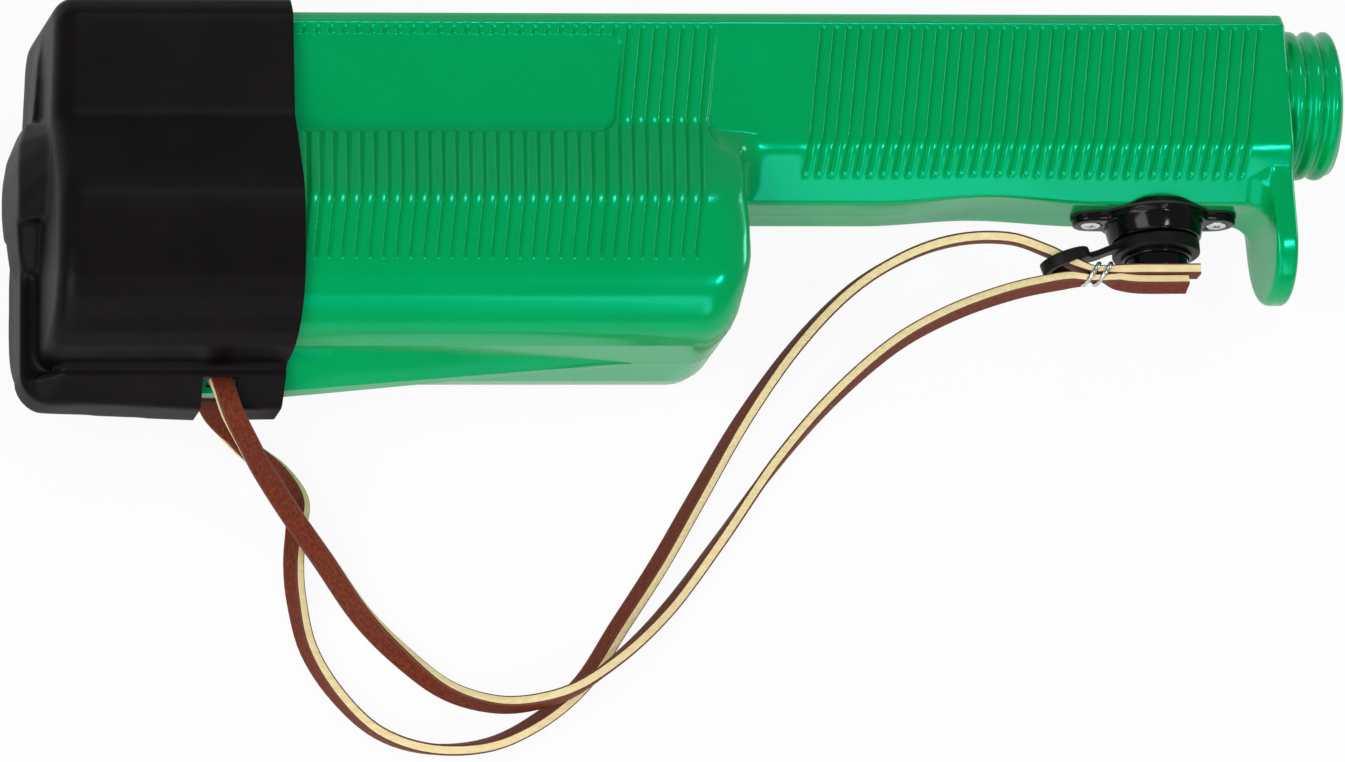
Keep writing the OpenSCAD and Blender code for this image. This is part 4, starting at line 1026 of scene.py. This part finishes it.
# Two cross-head screws: headed and rolled from steel wire and zinc plated. Their heads are sunk flush in
# the switch's ears and their shanks are driven into the grip's bosses.
SLOT_REACH, SLOT_HALF, SLOT_DEPTH, SLOT_TURN = 1.2, 0.22, 0.5, 0.35
screw_profile = [
    (0.01, HEAD_TOP), (1.2, HEAD_TOP), (2.2, HEAD_TOP + 0.05), (HEAD_RADIUS, HEAD_TOP + 0.3),
    (HEAD_RADIUS, HEAD_SEAT), (1.45, HEAD_SEAT), (1.45, -21), (0.6, -20.3), (0.01, -20.3),
]
screw_reach = [0, 0.2, 0.2, 0.1, 0, 0, 0, 0, 0]
screw_pair = []
for side in (-SCREW_OFF, SCREW_OFF):
    screw = lathe("cross_head_screw", softened(screw_profile, screw_reach, 3), (SWITCH_X + side, 0, 0), 40)
    for turned in (SLOT_TURN, SLOT_TURN + math.pi / 2):
        slot_corner = (SLOT_REACH, HEAD_TOP + SLOT_DEPTH, SLOT_HALF)
        slot_tool = block((-SLOT_REACH, HEAD_TOP - 1, -SLOT_HALF), slot_corner)
        slot_tool.rotation_euler = (0, turned + side * 0.02, 0)
        slot_tool.location = Vector((SWITCH_X + side, 0, 0)) * MM
        cut(screw, slot_tool)
    screw_pair.append(screw)
join(screw_pair)
screws = screw_pair[0]
zinc_plate = new_finish("zinc_plate", (0.7, 0.71, 0.72), 0.18, metallic=1)
mottle(zinc_plate, (0.62, 0.63, 0.64), (0.8, 0.8, 0.81), 500)
dress_piece(screws, zinc_plate, 35)
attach(screws, "handle")
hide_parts("switch_screws")


# Strap keeper: one moulding in black rubber, a ring stretched over the switch's neck, a short tether and
# a small ring that one strand of the lace is drawn through.
RING_AT, RING_TURN = (-54, -40, 6), 17
neck_profile = softened([(8.25, -36.9), (10.2, -36.9), (10.2, -33.6), (8.25, -33.6)], [0, 0.6, 0.6, 0])
keeper = lathe("strap_keeper_moulding", neck_profile, switch_axis, 72, open_bore=True)
ring_profile = softened([(4.1, -1.4), (6, -1.4), (6, 1.4), (4.1, 1.4)], [0, 0.4, 0.4, 0])
lace_ring = lathe("lace_ring", ring_profile, (0, 0, 0), 48, open_bore=True)
lace_ring.rotation_euler = (0, 0, math.radians(RING_TURN))
lace_ring.location = Vector(RING_AT) * MM
select_only(lace_ring)
bpy.ops.object.transform_apply(location=True, rotation=True)
tether_route = [(-50, -39.3, 6), (-46.5, -38.2, 5.2), (-43, -36.6, 4), (-40.2, -35.6, 3)]
tether_outline = strip_outline(4.4, 1.4, 0.35)
tether = sweep_strip("keeper_tether", smooth_line(tether_route, 6), [(0, (0, 0, 1))], tether_outline)
tidy_normals(tether)
fuse(keeper, tether)
fuse(keeper, lace_ring)
keeper_rubber = new_finish("keeper_rubber", (0.005, 0.0045, 0.0045), 0.45, specular=0.15)
mottle(keeper_rubber, (0.004, 0.0035, 0.0035), (0.009, 0.008, 0.007), 260)
grain_bump(keeper_rubber, 900, 0.15, 0.0002)
dress_piece(keeper, keeper_rubber, 40)
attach(keeper, "handle")
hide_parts("strap_keeper")


# Six C cells in two rows of three: drawn steel cans in a plain grey sleeve, with bare steel ends. They lie
# loose in the box and the boot's plate presses them against the front contacts.
def dress_nodes(finish, slot, *nodes):
    """Gives pieces kept from the CAD model their finish."""
    for node in nodes:
        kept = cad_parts[node]
        kept.data.materials.clear()
        kept.data.materials.append(finish)
        select_only(kept)
        bpy.ops.object.shade_smooth_by_angle(angle=math.radians(35))


cell_sleeve = new_finish("cell_sleeve", (0.3, 0.31, 0.33), 0.35)
mottle(cell_sleeve, (0.26, 0.27, 0.29), (0.36, 0.37, 0.39), 220, 4, (0.2, 1, 1))
grain_bump(cell_sleeve, 900, 0.06, 0.0002)
cell_steel = new_finish("cell_end_steel", (0.6, 0.6, 0.61), 0.28, metallic=1)
mottle(cell_steel, (0.52, 0.52, 0.53), (0.7, 0.7, 0.71), 700)
cells = ["battery_cell_%d" % number for number in range(1, 7)]
dress_nodes(cell_sleeve, "cell_sleeve", *cells)
for cell in cells:
    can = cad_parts[cell].data
    can.materials.append(cell_steel)
    for face in can.polygons:
        face.material_index = 1 if abs(face.normal.x) > 0.9 else 0


# Battery contacts: stamped brass springs and a bridge strip, riveted to black moulded plates at both ends
# of the rows, and the spigot's insulator with its two output buttons.
inner_black = new_finish("inner_moulding", (0.035, 0.035, 0.037), 0.5)
mottle(inner_black, (0.03, 0.03, 0.032), (0.045, 0.045, 0.047), 160)
grain_bump(inner_black, 800, 0.15, 0.0002)
plates = ["rear_plate", "bay_divider", "front_contact_plate", "spigot_insulator", "switch_block"]
dress_nodes(inner_black, "inner_plastic", *plates)
contact_brass = new_finish("contact_brass", (0.62, 0.44, 0.16), 0.3, metallic=1)
mottle(contact_brass, (0.52, 0.35, 0.12), (0.7, 0.52, 0.21), 400, 4)
dress_nodes(contact_brass, "contact_brass", "bridge_strip", "front_contacts", "output_contacts")


# High-voltage circuit: a green laminate board on the divider's posts with its transformer, in a ferrite
# core wound and taped by machine, a sleeved storage capacitor and a moulded transistor.
board_laminate = new_finish("board_laminate", (0.04, 0.15, 0.05), 0.4)
mottle(board_laminate, (0.03, 0.12, 0.04), (0.06, 0.19, 0.07), 300, 5)
core_iron = new_finish("core_ferrite", (0.05, 0.05, 0.055), 0.6)
mottle(core_iron, (0.035, 0.035, 0.04), (0.07, 0.07, 0.075), 500, 5)
winding_tape = new_finish("winding_tape", (0.42, 0.16, 0.05), 0.35)
mottle(winding_tape, (0.34, 0.12, 0.035), (0.5, 0.2, 0.07), 300)
capacitor_sleeve = new_finish("capacitor_sleeve", (0.03, 0.05, 0.17), 0.3)
mottle(capacitor_sleeve, (0.024, 0.04, 0.14), (0.04, 0.065, 0.21), 260)
dress_nodes(board_laminate, "board_laminate", "circuit_board")
dress_nodes(core_iron, "core_iron", "transformer_core")
dress_nodes(winding_tape, "winding_tape", "transformer_winding")
dress_nodes(capacitor_sleeve, "capacitor_sleeve", "storage_capacitor")
dress_nodes(inner_black, "inner_plastic", "power_transistor")


# Leads: stranded copper in a soft red sleeve, cut to length and soldered between battery, board, switch
# and output contacts.
lead_sleeve = new_finish("lead_sleeve", (0.4, 0.03, 0.03), 0.45)
mottle(lead_sleeve, (0.33, 0.022, 0.022), (0.46, 0.04, 0.038), 350)
dress_nodes(lead_sleeve, "lead_sleeve", "battery_leads", "switch_leads", "output_leads")
